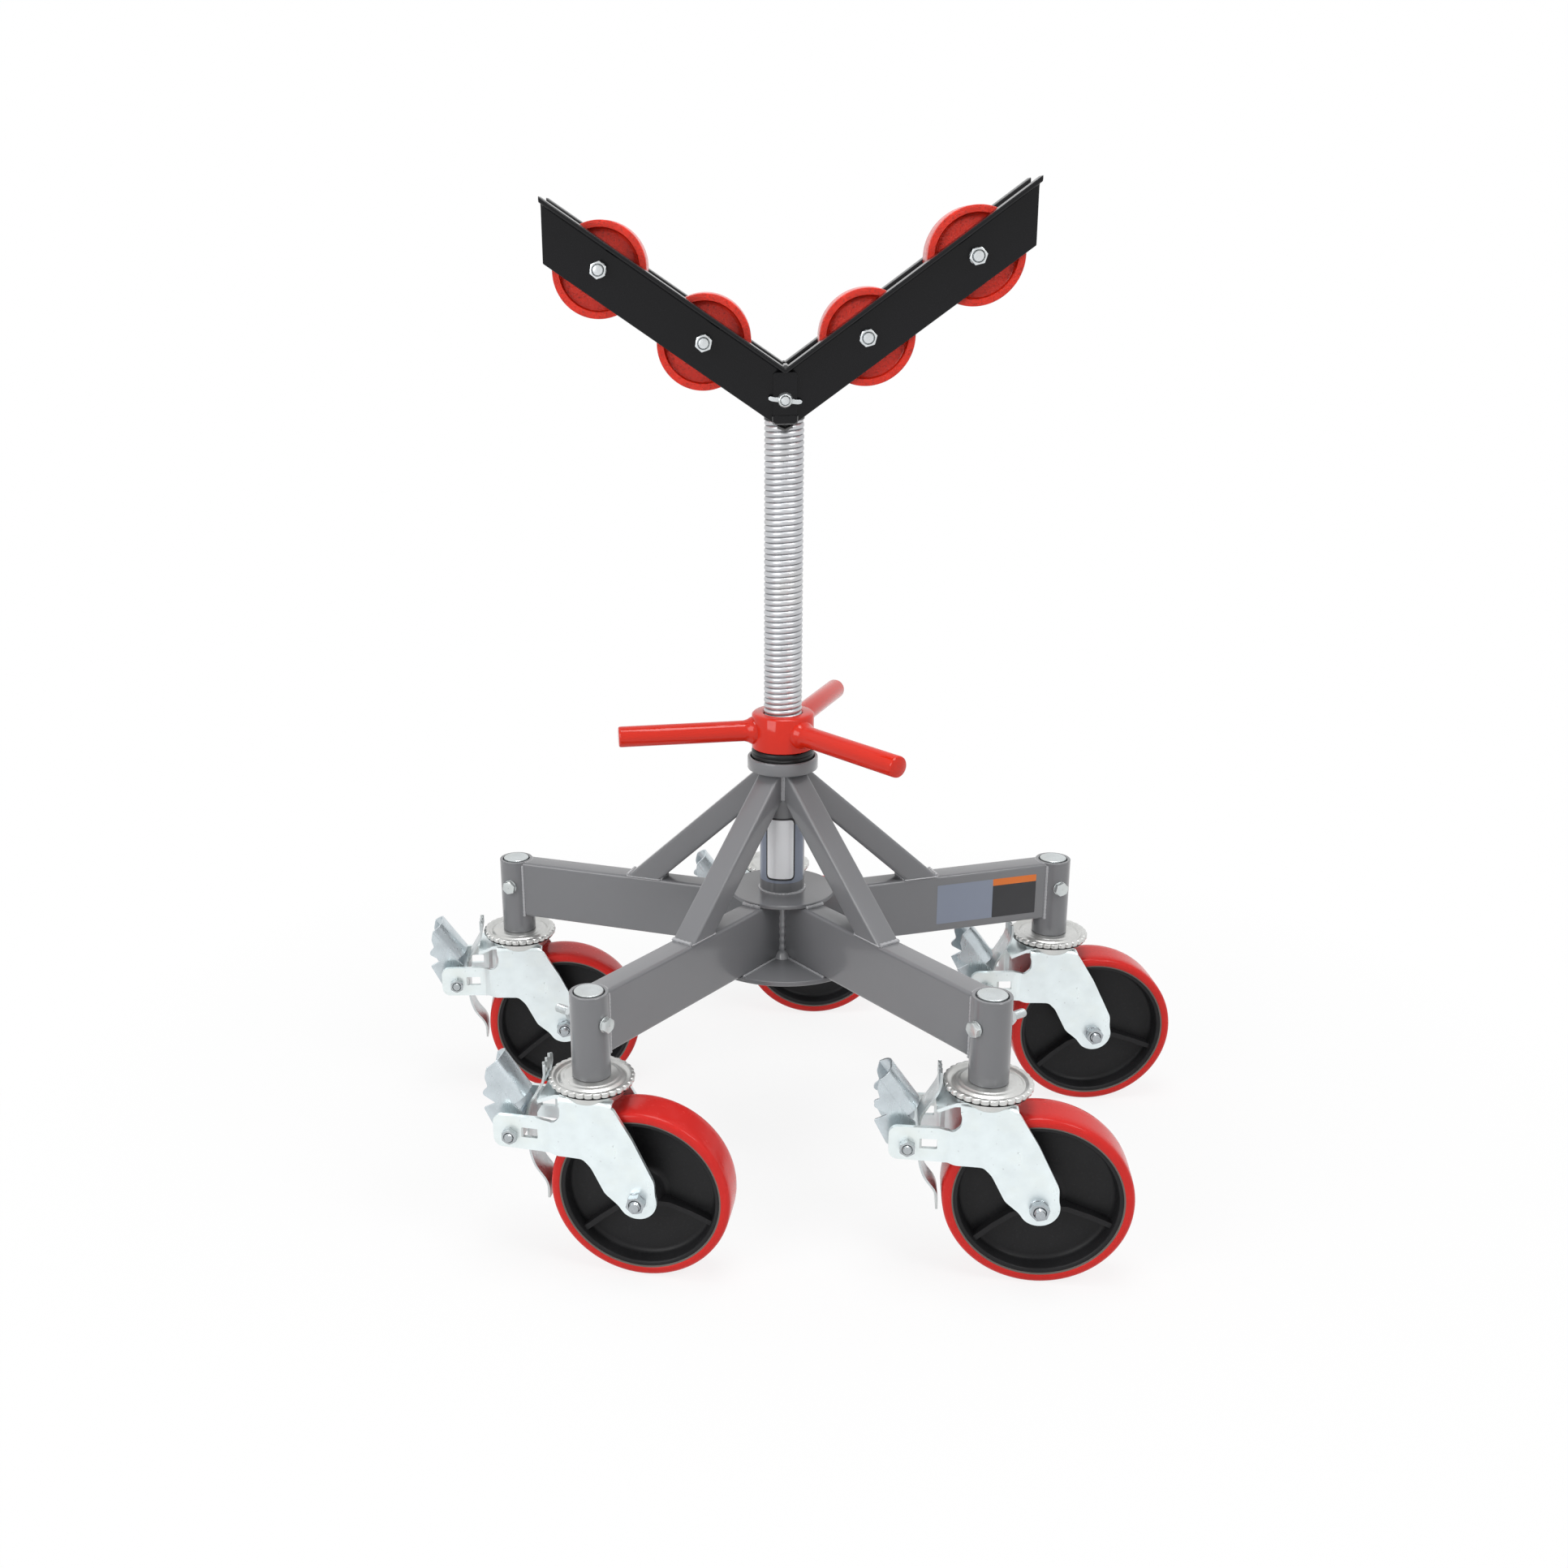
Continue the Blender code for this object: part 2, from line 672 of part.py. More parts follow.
def roller_places():
    """The axles of the four rollers in the head, as (x, z) from the vertex."""
    places = []
    for side in (-1, 1):
        for index in range(2):
            along = ROLLER_FIRST + index * ROLLER_SPACING
            x = along * math.cos(HEAD_SLOPE)
            z = along * math.sin(HEAD_SLOPE) - ROLLER_DROP / math.cos(HEAD_SLOPE)
            places.append((side * x, z))
    return sorted(places)


def strap_plate_mesh():
    """The upright strap over the front plate's mitre."""
    half = STRAP_PLATE_WIDTH / 2
    top = -STRAP_PLATE_DROP
    foot = top - STRAP_PLATE_LENGTH
    outline = (
        (-half, top),
        (-half, foot + STRAP_PLATE_CORNER),
        (STRAP_PLATE_CORNER - half, foot),
        (half - STRAP_PLATE_CORNER, foot),
        (half, foot + STRAP_PLATE_CORNER),
        (half, top),
    )
    return plate("strap_plate", outline, -WEB_OUTER - STRAP_PLATE_SHEET, -WEB_INNER - WELD_OVERLAP)


def v_plate_mesh(with_clamp):
    """One V of angle section with its flange turned out, on the front side."""
    flange_tip = WEB_INNER + ANGLE_FLANGE
    web = v_band("v_plate", ANGLE_DEPTH, -WEB_OUTER, -WEB_INNER)
    flange = v_band("flange", ANGLE_SHEET, -flange_tip, -WEB_INNER)
    pieces = [flange, strap_plate_mesh()] if with_clamp else [flange]
    reach = flange_tip + CUT_OVERRUN
    holes = []
    for x, z in roller_places():
        holes.append(at(rod_y("hole", ROLLER_AXLE_RADIUS + FIT_GAP, -reach, 0), x, 0, z))
    if with_clamp:
        holes.append(at(rod_y("hole", CLAMP_RADIUS + FIT_GAP, -reach, 0), 0, 0, -CLAMP_DROP))
    return cut(joined(web, *pieces), *holes)


def head_socket_mesh():
    """The sleeve between the V plates that sits on the screw's neck."""
    foot = -HEAD_SOCKET_DROP
    step = foot + HEAD_SOCKET_FOOT
    top = foot + HEAD_SOCKET_HEIGHT
    bore_radius = NECK_RADIUS + FIT_GAP
    profile = (
        (bore_radius, foot),
        (HEAD_SOCKET_FOOT_RADIUS, foot),
        (HEAD_SOCKET_FOOT_RADIUS, step),
        (HEAD_SOCKET_RADIUS, step),
        (HEAD_SOCKET_RADIUS, top),
        (bore_radius, top),
    )
    sleeve = turned("head_socket", profile, COLUMN_SIDES)
    hole = rod_y("hole", CLAMP_RADIUS + FIT_GAP, -HEAD_SOCKET_RADIUS - CUT_OVERRUN, 0)
    return cut(sleeve, at(hole, 0, 0, -CLAMP_DROP))


def clamp_bolt_mesh():
    """The stud that holds the head to the screw's neck, along Y."""
    tip = -NECK_RADIUS - FIT_GAP
    nut_face = -WEB_OUTER - STRAP_PLATE_SHEET - FIT_GAP
    return rod_y("clamp_bolt", CLAMP_RADIUS, nut_face - WING_HUB_LENGTH - CLAMP_END, tip)


def wing_nut_mesh():
    """A wing nut about the stud's axis, its back face at zero and its wings along X."""
    bore_radius = CLAMP_RADIUS + FIT_GAP
    hub = rod_y("wing_nut", WING_HUB_RADIUS, -WING_HUB_LENGTH, 0)
    wings = []
    for side in (-1, 1):
        outline = [(side * x * WING_SPAN, z * WING_SPAN) for x, z in WING_SHARES]
        middle = -WING_HUB_LENGTH / 2
        wings.append(plate("wing", outline, middle - WING_THICKNESS / 2, middle + WING_THICKNESS / 2))
    hole = rod_y("hole", bore_radius, -WING_HUB_LENGTH - CUT_OVERRUN, CUT_OVERRUN, SLIM_SIDES)
    return cut(joined(hub, *wings), hole)


def roller_mesh():
    """A cast roller with recessed sides and a longer boss, about its axle along Y."""
    half = ROLLER_WIDTH / 2
    boss = WEB_INNER - FIT_GAP
    bore_radius = ROLLER_AXLE_RADIUS + FIT_GAP
    rim = ROLLER_RADIUS - ROLLER_RIM
    web = ROLLER_WEB_THICKNESS / 2
    side = (
        (bore_radius, boss),
        (ROLLER_BOSS_RADIUS, boss),
        (ROLLER_BOSS_RADIUS, web),
        (ROLLER_WEB_RADIUS, web),
        (rim, half - ROLLER_RECESS),
        (rim, half),
        (ROLLER_RADIUS, half),
    )
    profile = list(side) + [(radius, -height) for radius, height in reversed(side)]
    return along_y(turned("roller", profile))


def roller_axle_mesh():
    """A bolt along Y with its head at the rear and its nut at the front."""
    head = across(NUT_FLATS)
    face = WEB_OUTER + FIT_GAP
    nut_end = face + ROLLER_NUT_HEIGHT
    bolt = rod_y("roller_axle", ROLLER_AXLE_RADIUS, -nut_end - STUD_END / 2, face + WELD_OVERLAP)
    nut = rod_y("nut", head, -nut_end, -face, 6)
    bolt_head = rod_y("head", head, face, face + BOLT_HEAD_HEIGHT, 6)
    return joined(bolt, nut, bolt_head)


# Caster
def fork_outline():
    """The cheek's outline, with a round end about the axle."""
    points = [(x * CASTER_TRAIL, z * CROWN_TOP) for x, z in FORK_FRONT_SHARES]
    first, last = FORK_TIP_ARC_DEG
    steps = WHEEL_SIDES // 4
    for step in range(steps + 1):
        angle = math.radians(first + (last - first) * step / steps)
        x = CASTER_TRAIL + FORK_TIP_RADIUS * math.cos(angle)
        points.append((x, WHEEL_RADIUS + FORK_TIP_RADIUS * math.sin(angle)))
    points += [(x * CASTER_TRAIL, z * CROWN_TOP) for x, z in FORK_REAR_SHARES]
    return points


def strap_back():
    """Where the strap's back stands behind the caster's stem."""
    return STRAP_BACK_SHARE * CASTER_TRAIL


def ear_slot():
    """A cutter for the slots in both ears that guide the strap's tabs."""
    low_x = strap_back() - STRAP_SHEET / 2 - FIT_GAP
    middle = STRAP_TAB_CENTRE_SHARE * CROWN_TOP
    half = STRAP_TAB_HEIGHT / 2 + FIT_GAP
    reach = CHEEK_OUTER + CUT_OVERRUN
    low = (low_x, -reach, middle - half)
    high = (low_x + EAR_SLOT_LENGTH, reach, middle + half)
    return block("slot", low, high)


def fork_mesh():
    """The pressed fork with its bearing cup, axle bolt and ear bolt."""
    crown_low = CROWN_TOP - SHEET
    low_x, high_x = (share * CASTER_TRAIL for share in CROWN_LENGTH_SHARES)
    crown = block("fork", (low_x, -CHEEK_OUTER, crown_low), (high_x, CHEEK_OUTER, CROWN_TOP))
    near = plate("cheek", fork_outline(), -CHEEK_OUTER, -CHEEK_INNER)
    far = plate("cheek", fork_outline(), CHEEK_INNER, CHEEK_OUTER)
    cup_profile = (
        (0, crown_low + WELD_OVERLAP),
        (CUP_RADIUS, crown_low + WELD_OVERLAP),
        (CUP_RADIUS, CUP_TOP - CUP_ROUND),
        (CUP_RADIUS - CUP_ROUND, CUP_TOP),
        (0, CUP_TOP),
    )
    cup = turned("cup", cup_profile)
    hole_low = crown_low - CUT_OVERRUN
    hole = solid_round("hole", KINGPIN_RADIUS + FIT_GAP, hole_low, CUP_TOP + CUT_OVERRUN)
    body = cut(joined(crown, near, far, cup), hole, ear_slot())
    face = CHEEK_OUTER - WELD_OVERLAP
    nut_end = CHEEK_OUTER + NUT_HEIGHT
    axle = rod_y("axle", AXLE_RADIUS, -nut_end - STUD_END, face + WELD_OVERLAP)
    axle_nut = rod_y("nut", across(NUT_FLATS), -nut_end, -face, 6)
    axle_head = rod_y("head", across(NUT_FLATS), face, CHEEK_OUTER + BOLT_HEAD_HEIGHT, 6)
    ear_end = CHEEK_OUTER + EAR_NUT_HEIGHT
    ear_bolt = rod_y("ear_bolt", EAR_BOLT_RADIUS, -ear_end - STUD_END / 2, face + WELD_OVERLAP)
    ear_nut = rod_y("nut", across(EAR_NUT_FLATS), -ear_end, -face, 6)
    ear_head = rod_y("head", across(EAR_NUT_FLATS), face, CHEEK_OUTER + EAR_NUT_HEIGHT, 6)
    for piece in (axle, axle_nut, axle_head):
        at(piece, CASTER_TRAIL, 0, WHEEL_RADIUS)
    for piece in (ear_bolt, ear_nut, ear_head):
        at(piece, EAR_BOLT_X, 0, EAR_BOLT_Z)
    return joined(body, axle, axle_nut, axle_head, ear_bolt, ear_nut, ear_head)


def toothed_disc():
    """The swivel ring's flat toothed band, as a disc."""
    bm = bmesh.new()
    low = RING_FOOT + RING_LIFT
    rings = []
    for height in (low, low + RING_THICKNESS):
        ring = []
        for step in range(2 * RING_TEETH):
            radius = RING_RADIUS - RING_TOOTH_DEPTH * (step % 2)
            angle = math.pi * step / RING_TEETH
            ring.append(bm.verts.new((radius * math.cos(angle), radius * math.sin(angle), height)))
        rings.append(ring)
    bottom, top = rings
    bm.faces.new(list(reversed(bottom)))
    bm.faces.new(top)
    for step in range(2 * RING_TEETH):
        following = (step + 1) % (2 * RING_TEETH)
        bm.faces.new((bottom[step], bottom[following], top[following], top[step]))
    return finished(bm, "toothed_disc")


def stem_mesh():
    """The stem with its kingpin, raised ring centre, toothed band and cross bolt."""
    head_top = CROWN_TOP - SHEET - FIT_GAP
    head_low = head_top - KINGPIN_HEAD_HEIGHT
    stem_top = SOCKET_TOP + STEM_RISE
    profile = (
        (0, head_low),
        (KINGPIN_HEAD_RADIUS, head_low),
        (KINGPIN_HEAD_RADIUS, head_top),
        (KINGPIN_RADIUS, head_top),
        (KINGPIN_RADIUS, RING_FOOT),
        (RING_DISH_RADIUS, RING_FOOT),
        (RING_DISH_RADIUS, RING_FOOT + RING_LIFT + RING_THICKNESS),
        (RING_DISH_TOP_RADIUS, RING_TOP),
        (STEM_RADIUS, RING_TOP),
        (STEM_RADIUS, stem_top - STEM_CHAMFER),
        (STEM_RADIUS - STEM_CHAMFER, stem_top),
        (0, stem_top),
    )
    stem = turned("stem", profile)
    face = SOCKET_RADIUS + FIT_GAP
    end = face + CROSS_BOLT_HEAD
    bolt = rod_y("bolt", CROSS_BOLT_RADIUS, -face - WELD_OVERLAP, end + STUD_END / 2)
    head = rod_y("head", across(CROSS_BOLT_FLATS), -end, -face, 6)
    nut = rod_y("nut", across(CROSS_BOLT_FLATS), face, end, 6)
    for piece in (bolt, head, nut):
        at(piece, 0, 0, SOCKET_TOP - CROSS_BOLT_DROP)
    return joined(stem, toothed_disc(), bolt, head, nut)


def hub_mesh():
    """A cast wheel centre with ribbed, recessed sides, about its axle along Y."""
    boss = CHEEK_INNER - FIT_GAP
    half = HUB_RIM_WIDTH / 2
    web = HUB_WEB_THICKNESS / 2
    rim = HUB_RADIUS - HUB_RIM_THICKNESS
    side = (
        (AXLE_RADIUS + FIT_GAP, boss),
        (HUB_BOSS_END_RADIUS, boss),
        (HUB_BOSS_RADIUS, web),
        (rim, web),
        (rim, half),
        (HUB_RADIUS, half),
    )
    profile = list(side) + [(radius, -height) for radius, height in reversed(side)]
    hub = turned("hub", [(radius * FACET_STRETCH, height) for radius, height in profile], WHEEL_SIDES, wheel_phase())
    ribs = []
    for index in range(HUB_RIB_COUNT):
        heading = math.radians(HUB_RIB_FIRST_DEG) + 2 * math.pi * index / HUB_RIB_COUNT
        half_width = HUB_RIB_WIDTH / 2
        half_rib = HUB_RIB_THICKNESS / 2
        low = (HUB_BOSS_END_RADIUS, -half_rib, -half_width)
        rib = block("rib", low, (rim + WELD_OVERLAP, half_rib, half_width))
        ribs.append(moved(rib, Matrix.Rotation(heading, 4, "Z")))
    return along_y(joined(hub, *ribs))


def wheel_phase():
    """The turn that lays a flat facet of the wheel on the floor."""
    return 180.0 / WHEEL_SIDES


def tyre_mesh():
    """The tyre about its axle along Y, with a flat facet on the floor."""
    half = WHEEL_WIDTH / 2
    side = (
        (TYRE_INNER, half),
        (WHEEL_RADIUS - TYRE_EDGE, half),
        (WHEEL_RADIUS, half - TYRE_EDGE),
    )
    profile = list(side) + [(radius, -height) for radius, height in reversed(side)]
    stretched = [(radius * FACET_STRETCH, height) for radius, height in profile]
    return along_y(turned("tyre", stretched, WHEEL_SIDES, wheel_phase()))


def pedal_mesh():
    """A folded channel about the ear bolt, with its web on the upper edge."""
    half = PEDAL_WIDTH / 2
    top = [(x * PEDAL_LENGTH, z * PEDAL_LENGTH) for x, z in PEDAL_TOP_SHARES]
    side = top + [(x * PEDAL_LENGTH, z * PEDAL_LENGTH) for x, z in PEDAL_SIDE_SHARES]
    near = plate("pedal", side, -half, PEDAL_SHEET - half)
    far = plate("far", side, half - PEDAL_SHEET, half)
    (high_x, high_z), (low_x, low_z) = top
    length = math.hypot(high_x - low_x, high_z - low_z)
    inward = Vector((low_z - high_z, high_x - low_x)) * PEDAL_SHEET / length
    web_outline = (
        (high_x, high_z),
        (low_x, low_z),
        (low_x + inward.x, low_z + inward.y),
        (high_x + inward.x, high_z + inward.y),
    )
    web = plate("web", web_outline, -half, half)
    reach = half + CUT_OVERRUN
    hole = rod_y("hole", EAR_BOLT_RADIUS + FIT_GAP, -reach, reach, SLIM_SIDES)
    return cut(joined(near, far, web), hole)


def strap_line():
    """The strap's centre line, from the tongue by the ring down to the shoe by the tyre."""
    half = STRAP_SHEET / 2
    tongue = -(RING_RADIUS + FIT_GAP + STRAP_TRAVEL + half)
    shoe = CASTER_TRAIL - WHEEL_RADIUS * FACET_STRETCH - SHOE_CLEARANCE - STRAP_TRAVEL - half
    upper, back_top, back_low, knee = (share * CROWN_TOP for share in STRAP_KNEE_SHARES)
    back = strap_back()
    return (
        (tongue, CROWN_TOP + STRAP_TONGUE_TOP),
        (tongue, upper),
        (back, back_top),
        (back, back_low),
        (back + (shoe - back) * STRAP_KNEE_REACH_SHARE, knee),
        (shoe, WHEEL_RADIUS),
        (shoe, WHEEL_RADIUS - STRAP_SHOE_DROP),
    )


def strap_mesh():
    """The bent strap of even sheet, with a tab on each side for the ears' slots."""
    points = [Vector(point) for point in strap_line()]
    half = STRAP_SHEET / 2
    left = []
    right = []
    for index, point in enumerate(points):
        before = points[max(index - 1, 0)]
        after = points[min(index + 1, len(points) - 1)]
        into = (point - before).normalized() if index else (after - point).normalized()
        out = (after - point).normalized() if index < len(points) - 1 else into
        middle = (into + out).normalized()
        normal = Vector((-middle.y, middle.x)) * half / middle.dot(into)
        left.append(point + normal)
        right.append(point - normal)
    outline = [tuple(point) for point in left + right[::-1]]
    sheet = plate("strap", outline, -STRAP_WIDTH / 2, STRAP_WIDTH / 2)
    centre = STRAP_TAB_CENTRE_SHARE * CROWN_TOP
    low = (strap_back() - half, -CHEEK_OUTER, centre - STRAP_TAB_HEIGHT / 2)
    high = (strap_back() + half, CHEEK_OUTER, centre + STRAP_TAB_HEIGHT / 2)
    return joined(sheet, block("tabs", low, high))


# Assembly
def build_frame(paint, stand):
    """The welded base: column, plates, legs and braces, with the collar and thrust ring."""
    grey = paint["grey_paint"]
    place("column_tube", column_mesh(), grey, stand, turn_deg=FIRST_LEG_DEG)
    lower_bottom = LEG_BOTTOM - FIT_GAP - LOWER_PLATE_THICKNESS
    lower = disc_mesh("lower_plate", LOWER_PLATE_RADIUS, lower_bottom, LOWER_PLATE_THICKNESS)
    upper = disc_mesh("upper_plate", UPPER_PLATE_RADIUS, LEG_TOP + FIT_GAP, UPPER_PLATE_THICKNESS)
    place("lower_plate", lower, grey, stand, turn_deg=FIRST_LEG_DEG)
    place("upper_plate", upper, grey, stand, turn_deg=FIRST_LEG_DEG)
    place("top_collar", collar_mesh(), grey, stand, turn_deg=FIRST_LEG_DEG)
    place("thrust_ring", thrust_ring_mesh(), paint["black_seal"], stand, turn_deg=FIRST_LEG_DEG)
    leg = leg_mesh()
    brace = brace_mesh()
    stem = stem_mesh()
    for index, name in enumerate(LEG_NAMES):
        heading = FIRST_LEG_DEG + index * LEG_STEP_DEG
        direction = axis_empty("direction_" + name, stand, turn_deg=heading)
        place("leg_" + name, leg, grey, direction)
        place("brace_" + name, brace, grey, direction)
        place("caster_stem_" + name, stem, paint["zinc"], direction, (LEG_RADIUS, 0, 0))


def build_lift(paint, stand):
    """The handle nut, and the screw with the V head that it raises."""
    place("handle_nut", handle_nut_mesh(), paint["red_paint"], stand, (0, 0, NUT_MIDDLE))
    screw = place("screw", screw_mesh(), paint["screw_zinc"], stand, (0, 0, SCREW_BOTTOM))
    head = axis_empty("head_swivel", screw, (0, 0, HEAD_VERTEX - SCREW_BOTTOM))
    black = paint["black_paint"]
    place("v_plate_front", v_plate_mesh(True), black, head)
    place("v_plate_rear", v_plate_mesh(False), black, head, turn_deg=180.0)
    place("head_socket", head_socket_mesh(), black, head)
    clamp = axis_empty("clamp_axis", head, (0, 0, -CLAMP_DROP))
    place("clamp_bolt", clamp_bolt_mesh(), paint["zinc"], clamp)
    wing_face = -WEB_OUTER - STRAP_PLATE_SHEET - FIT_GAP
    place("wing_nut", wing_nut_mesh(), paint["zinc"], clamp, (0, wing_face, 0))
    roller = roller_mesh()
    axle = roller_axle_mesh()
    for index, (x, z) in enumerate(roller_places(), start=1):
        place(f"roller_{index}", roller, paint["red_paint"], head, (x, 0, z))
        place(f"roller_axle_{index}", axle, paint["zinc"], head, (x, 0, z))


def build_casters(paint, stand):
    """Five swivel forks, each with its wheel, brake pedal and brake strap."""
    fork = fork_mesh()
    hub = hub_mesh()
    tyre = tyre_mesh()
    pedal = pedal_mesh()
    strap = strap_mesh()
    for index, name in enumerate(LEG_NAMES):
        heading = math.radians(FIRST_LEG_DEG + index * LEG_STEP_DEG)
        stem_place = (LEG_RADIUS * math.cos(heading), LEG_RADIUS * math.sin(heading), 0)
        swivel = axis_empty("swivel_" + name, stand, stem_place, CASTER_HEADING_DEG[name])
        place("fork_" + name, fork, paint["zinc"], swivel)
        axle = axis_empty("axle_" + name, swivel, (CASTER_TRAIL, 0, WHEEL_RADIUS))
        place("wheel_hub_" + name, hub, paint["black_cast"], axle)
        place("tyre_" + name, tyre, paint["red_tread"], axle)
        place("brake_pedal_" + name, pedal, paint["zinc"], swivel, (EAR_BOLT_X, 0, EAR_BOLT_Z))
        place("brake_strap_" + name, strap, paint["zinc"], swivel)


def build():
    """Clear the scene and build the whole stand."""
    for spare in list(bpy.data.objects):
        bpy.data.objects.remove(spare)
    paint = finishes()
    stand = axis_empty("stand", location=(COLUMN_X, COLUMN_Y, 0))
    build_frame(paint, stand)
    build_lift(paint, stand)
    build_casters(paint, stand)


build()
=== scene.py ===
# %% [markdown]
# # A pipe jack stand, from its joints to its paint
# The stand holds a length of pipe on four rollers. A big screw lifts the V of rollers, a nut with
# three bars turns round the screw, and five swivel casters carry the welded star underneath.
# The joints and the solids are made already. This lesson gives every piece its true form and finish.

import json
import math

import bmesh
import bpy
from mathutils import Matrix, Vector


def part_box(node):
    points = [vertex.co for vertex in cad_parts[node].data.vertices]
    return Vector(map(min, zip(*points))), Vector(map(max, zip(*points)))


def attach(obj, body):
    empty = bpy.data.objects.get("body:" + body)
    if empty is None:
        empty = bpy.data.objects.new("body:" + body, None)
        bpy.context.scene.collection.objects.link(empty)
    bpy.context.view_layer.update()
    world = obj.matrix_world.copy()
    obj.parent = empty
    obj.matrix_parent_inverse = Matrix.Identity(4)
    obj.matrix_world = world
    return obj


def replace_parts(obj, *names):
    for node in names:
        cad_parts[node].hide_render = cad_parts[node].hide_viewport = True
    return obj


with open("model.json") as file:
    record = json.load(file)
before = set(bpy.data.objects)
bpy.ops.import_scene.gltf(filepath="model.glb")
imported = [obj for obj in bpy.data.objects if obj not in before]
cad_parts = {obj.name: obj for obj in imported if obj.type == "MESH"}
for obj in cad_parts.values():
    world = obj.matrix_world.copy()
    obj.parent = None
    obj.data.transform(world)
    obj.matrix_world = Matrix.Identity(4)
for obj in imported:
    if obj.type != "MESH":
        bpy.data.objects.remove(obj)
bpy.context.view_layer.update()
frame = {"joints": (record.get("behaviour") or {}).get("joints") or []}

# %% [markdown]
# ## Where things stand
# Every size is in metres, and the floor is at height zero. The column isn't quite in the middle of
# the stand's box, because all the casters trail to the right, so its place is measured from the
# solid tube. The legs point from it at even angles, 72 degrees apart.

# %% The column, the legs and the casters' places
MM = 0.001
column_low, column_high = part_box("column_tube")
COLUMN = Matrix.Translation((column_low + column_high) / 2 * Vector((1, 1, 0)))
LEGS = ("right", "back", "left", "front_left", "front_right")
FIRST_LEG = math.radians(18)
LEG_STEP = math.radians(72)
STEM_RADIUS = 364 * MM
WHEEL_RADIUS = 101.6 * MM
TRAIL = 56 * MM
HERE = Matrix.Identity(4)


def turn(angle, axis="Z"):
    """A turn about one of the three axes."""
    return Matrix.Rotation(angle, 4, axis)


def shift(x, y, z):
    """A move."""
    return Matrix.Translation((x, y, z))


def leg_frame(name):
    """A frame whose X axis runs out along a leg."""
    return COLUMN @ turn(FIRST_LEG + LEGS.index(name) * LEG_STEP)


def caster_frame(name):
    """A frame under a caster's stem whose X axis runs towards the wheel."""
    stem = leg_frame(name) @ Vector((STEM_RADIUS, 0, 0))
    hinge = next(j for j in frame["joints"] if j["name"] == f"wheel_{name}_roll")
    across_wheel = Vector(hinge["axis"])
    return shift(stem.x, stem.y, 0) @ turn(math.atan2(-across_wheel.x, across_wheel.y))


print("column at", [round(v, 4) for v in COLUMN.translation])

# %% [markdown]
# ## Outlines and profiles
# Nearly everything here was turned on a lathe, cut from plate or bent from tube, so a form starts
# as a short list of measured points. They read best in millimetres, and a few small helpers turn
# them into metres, mirror them, or swap their corners for curves.

# %% Points, curves and rounded corners
def mm(points):
    """Points given in millimetres."""
    return [tuple(value * MM for value in point) for point in points]


def from_base(base, points):
    """(radius, height) points in millimetres, whose heights count from a base in metres."""
    return [(r * MM, base + z * MM) for r, z in points]


def both_sides(points):
    """(radius, half width) points in millimetres, closed over both sides of a wheel."""
    near = mm(points)
    return near + [(r, -h) for r, h in reversed(near)]


def round_angles(sides):
    """Even angles round a circle."""
    return [2 * math.pi * k / sides for k in range(sides)]


def polar(radius, angle, height):
    """The point that far from the Z axis, at that angle and height."""
    return (radius * math.cos(angle), radius * math.sin(angle), height)


def arc(centre, radius, start, end, steps=6):
    """Points on an arc in a plane, with its angles in degrees."""
    points = []
    for k in range(steps + 1):
        angle = math.radians(start + (end - start) * k / steps)
        points.append((centre[0] + radius * math.cos(angle), centre[1] + radius * math.sin(angle)))
    return points


def spaced(line, step):
    """The line with points added so that none are further apart than step."""
    points = [Vector(point) for point in line]
    fine = [points[0]]
    for start, end in zip(points, points[1:]):
        parts = max(1, math.ceil((end - start).length / step))
        fine += [start.lerp(end, (k + 1) / parts) for k in range(parts)]
    return fine


def rounded(outline, radius, steps=4, open_line=False):
    """The outline, or an open line, with each corner swapped for a short curve."""
    points = [Vector(point) for point in outline]
    if open_line:
        inner = rounded(outline, radius, steps)
        return [tuple(points[0])] + inner[steps + 1:-steps - 1] + [tuple(points[-1])]
    curve = []
    for before, corner, after in zip(points[-1:] + points[:-1], points, points[1:] + points[:1]):
        start = corner + (before - corner).normalized() * min(radius, (before - corner).length * 0.45)
        end = corner + (after - corner).normalized() * min(radius, (after - corner).length * 0.45)
        for k in range(steps + 1):
            t = k / steps
            curve.append((1 - t) ** 2 * start + 2 * t * (1 - t) * corner + t ** 2 * end)
    return [tuple(point) for point in curve]


def panel(x0, x1, z0, z1, corner, steps):
    """A rectangle's outline with rounded corners."""
    return rounded([(x0, z0), (x1, z0), (x1, z1), (x0, z1)], corner, steps)


print("a small panel has", len(panel(0, 1, 0, 1, 0.1, 3)), "points")

# %% [markdown]
# ## Making meshes
# A few builders do most of the work: one spins a profile, one gives an outline some thickness, one
# runs a wavy bead of weld along a line. A `Build` gathers such forms in one mesh, which keeps the
# pieces few. What the stand has five times is one mesh that is shown five times.

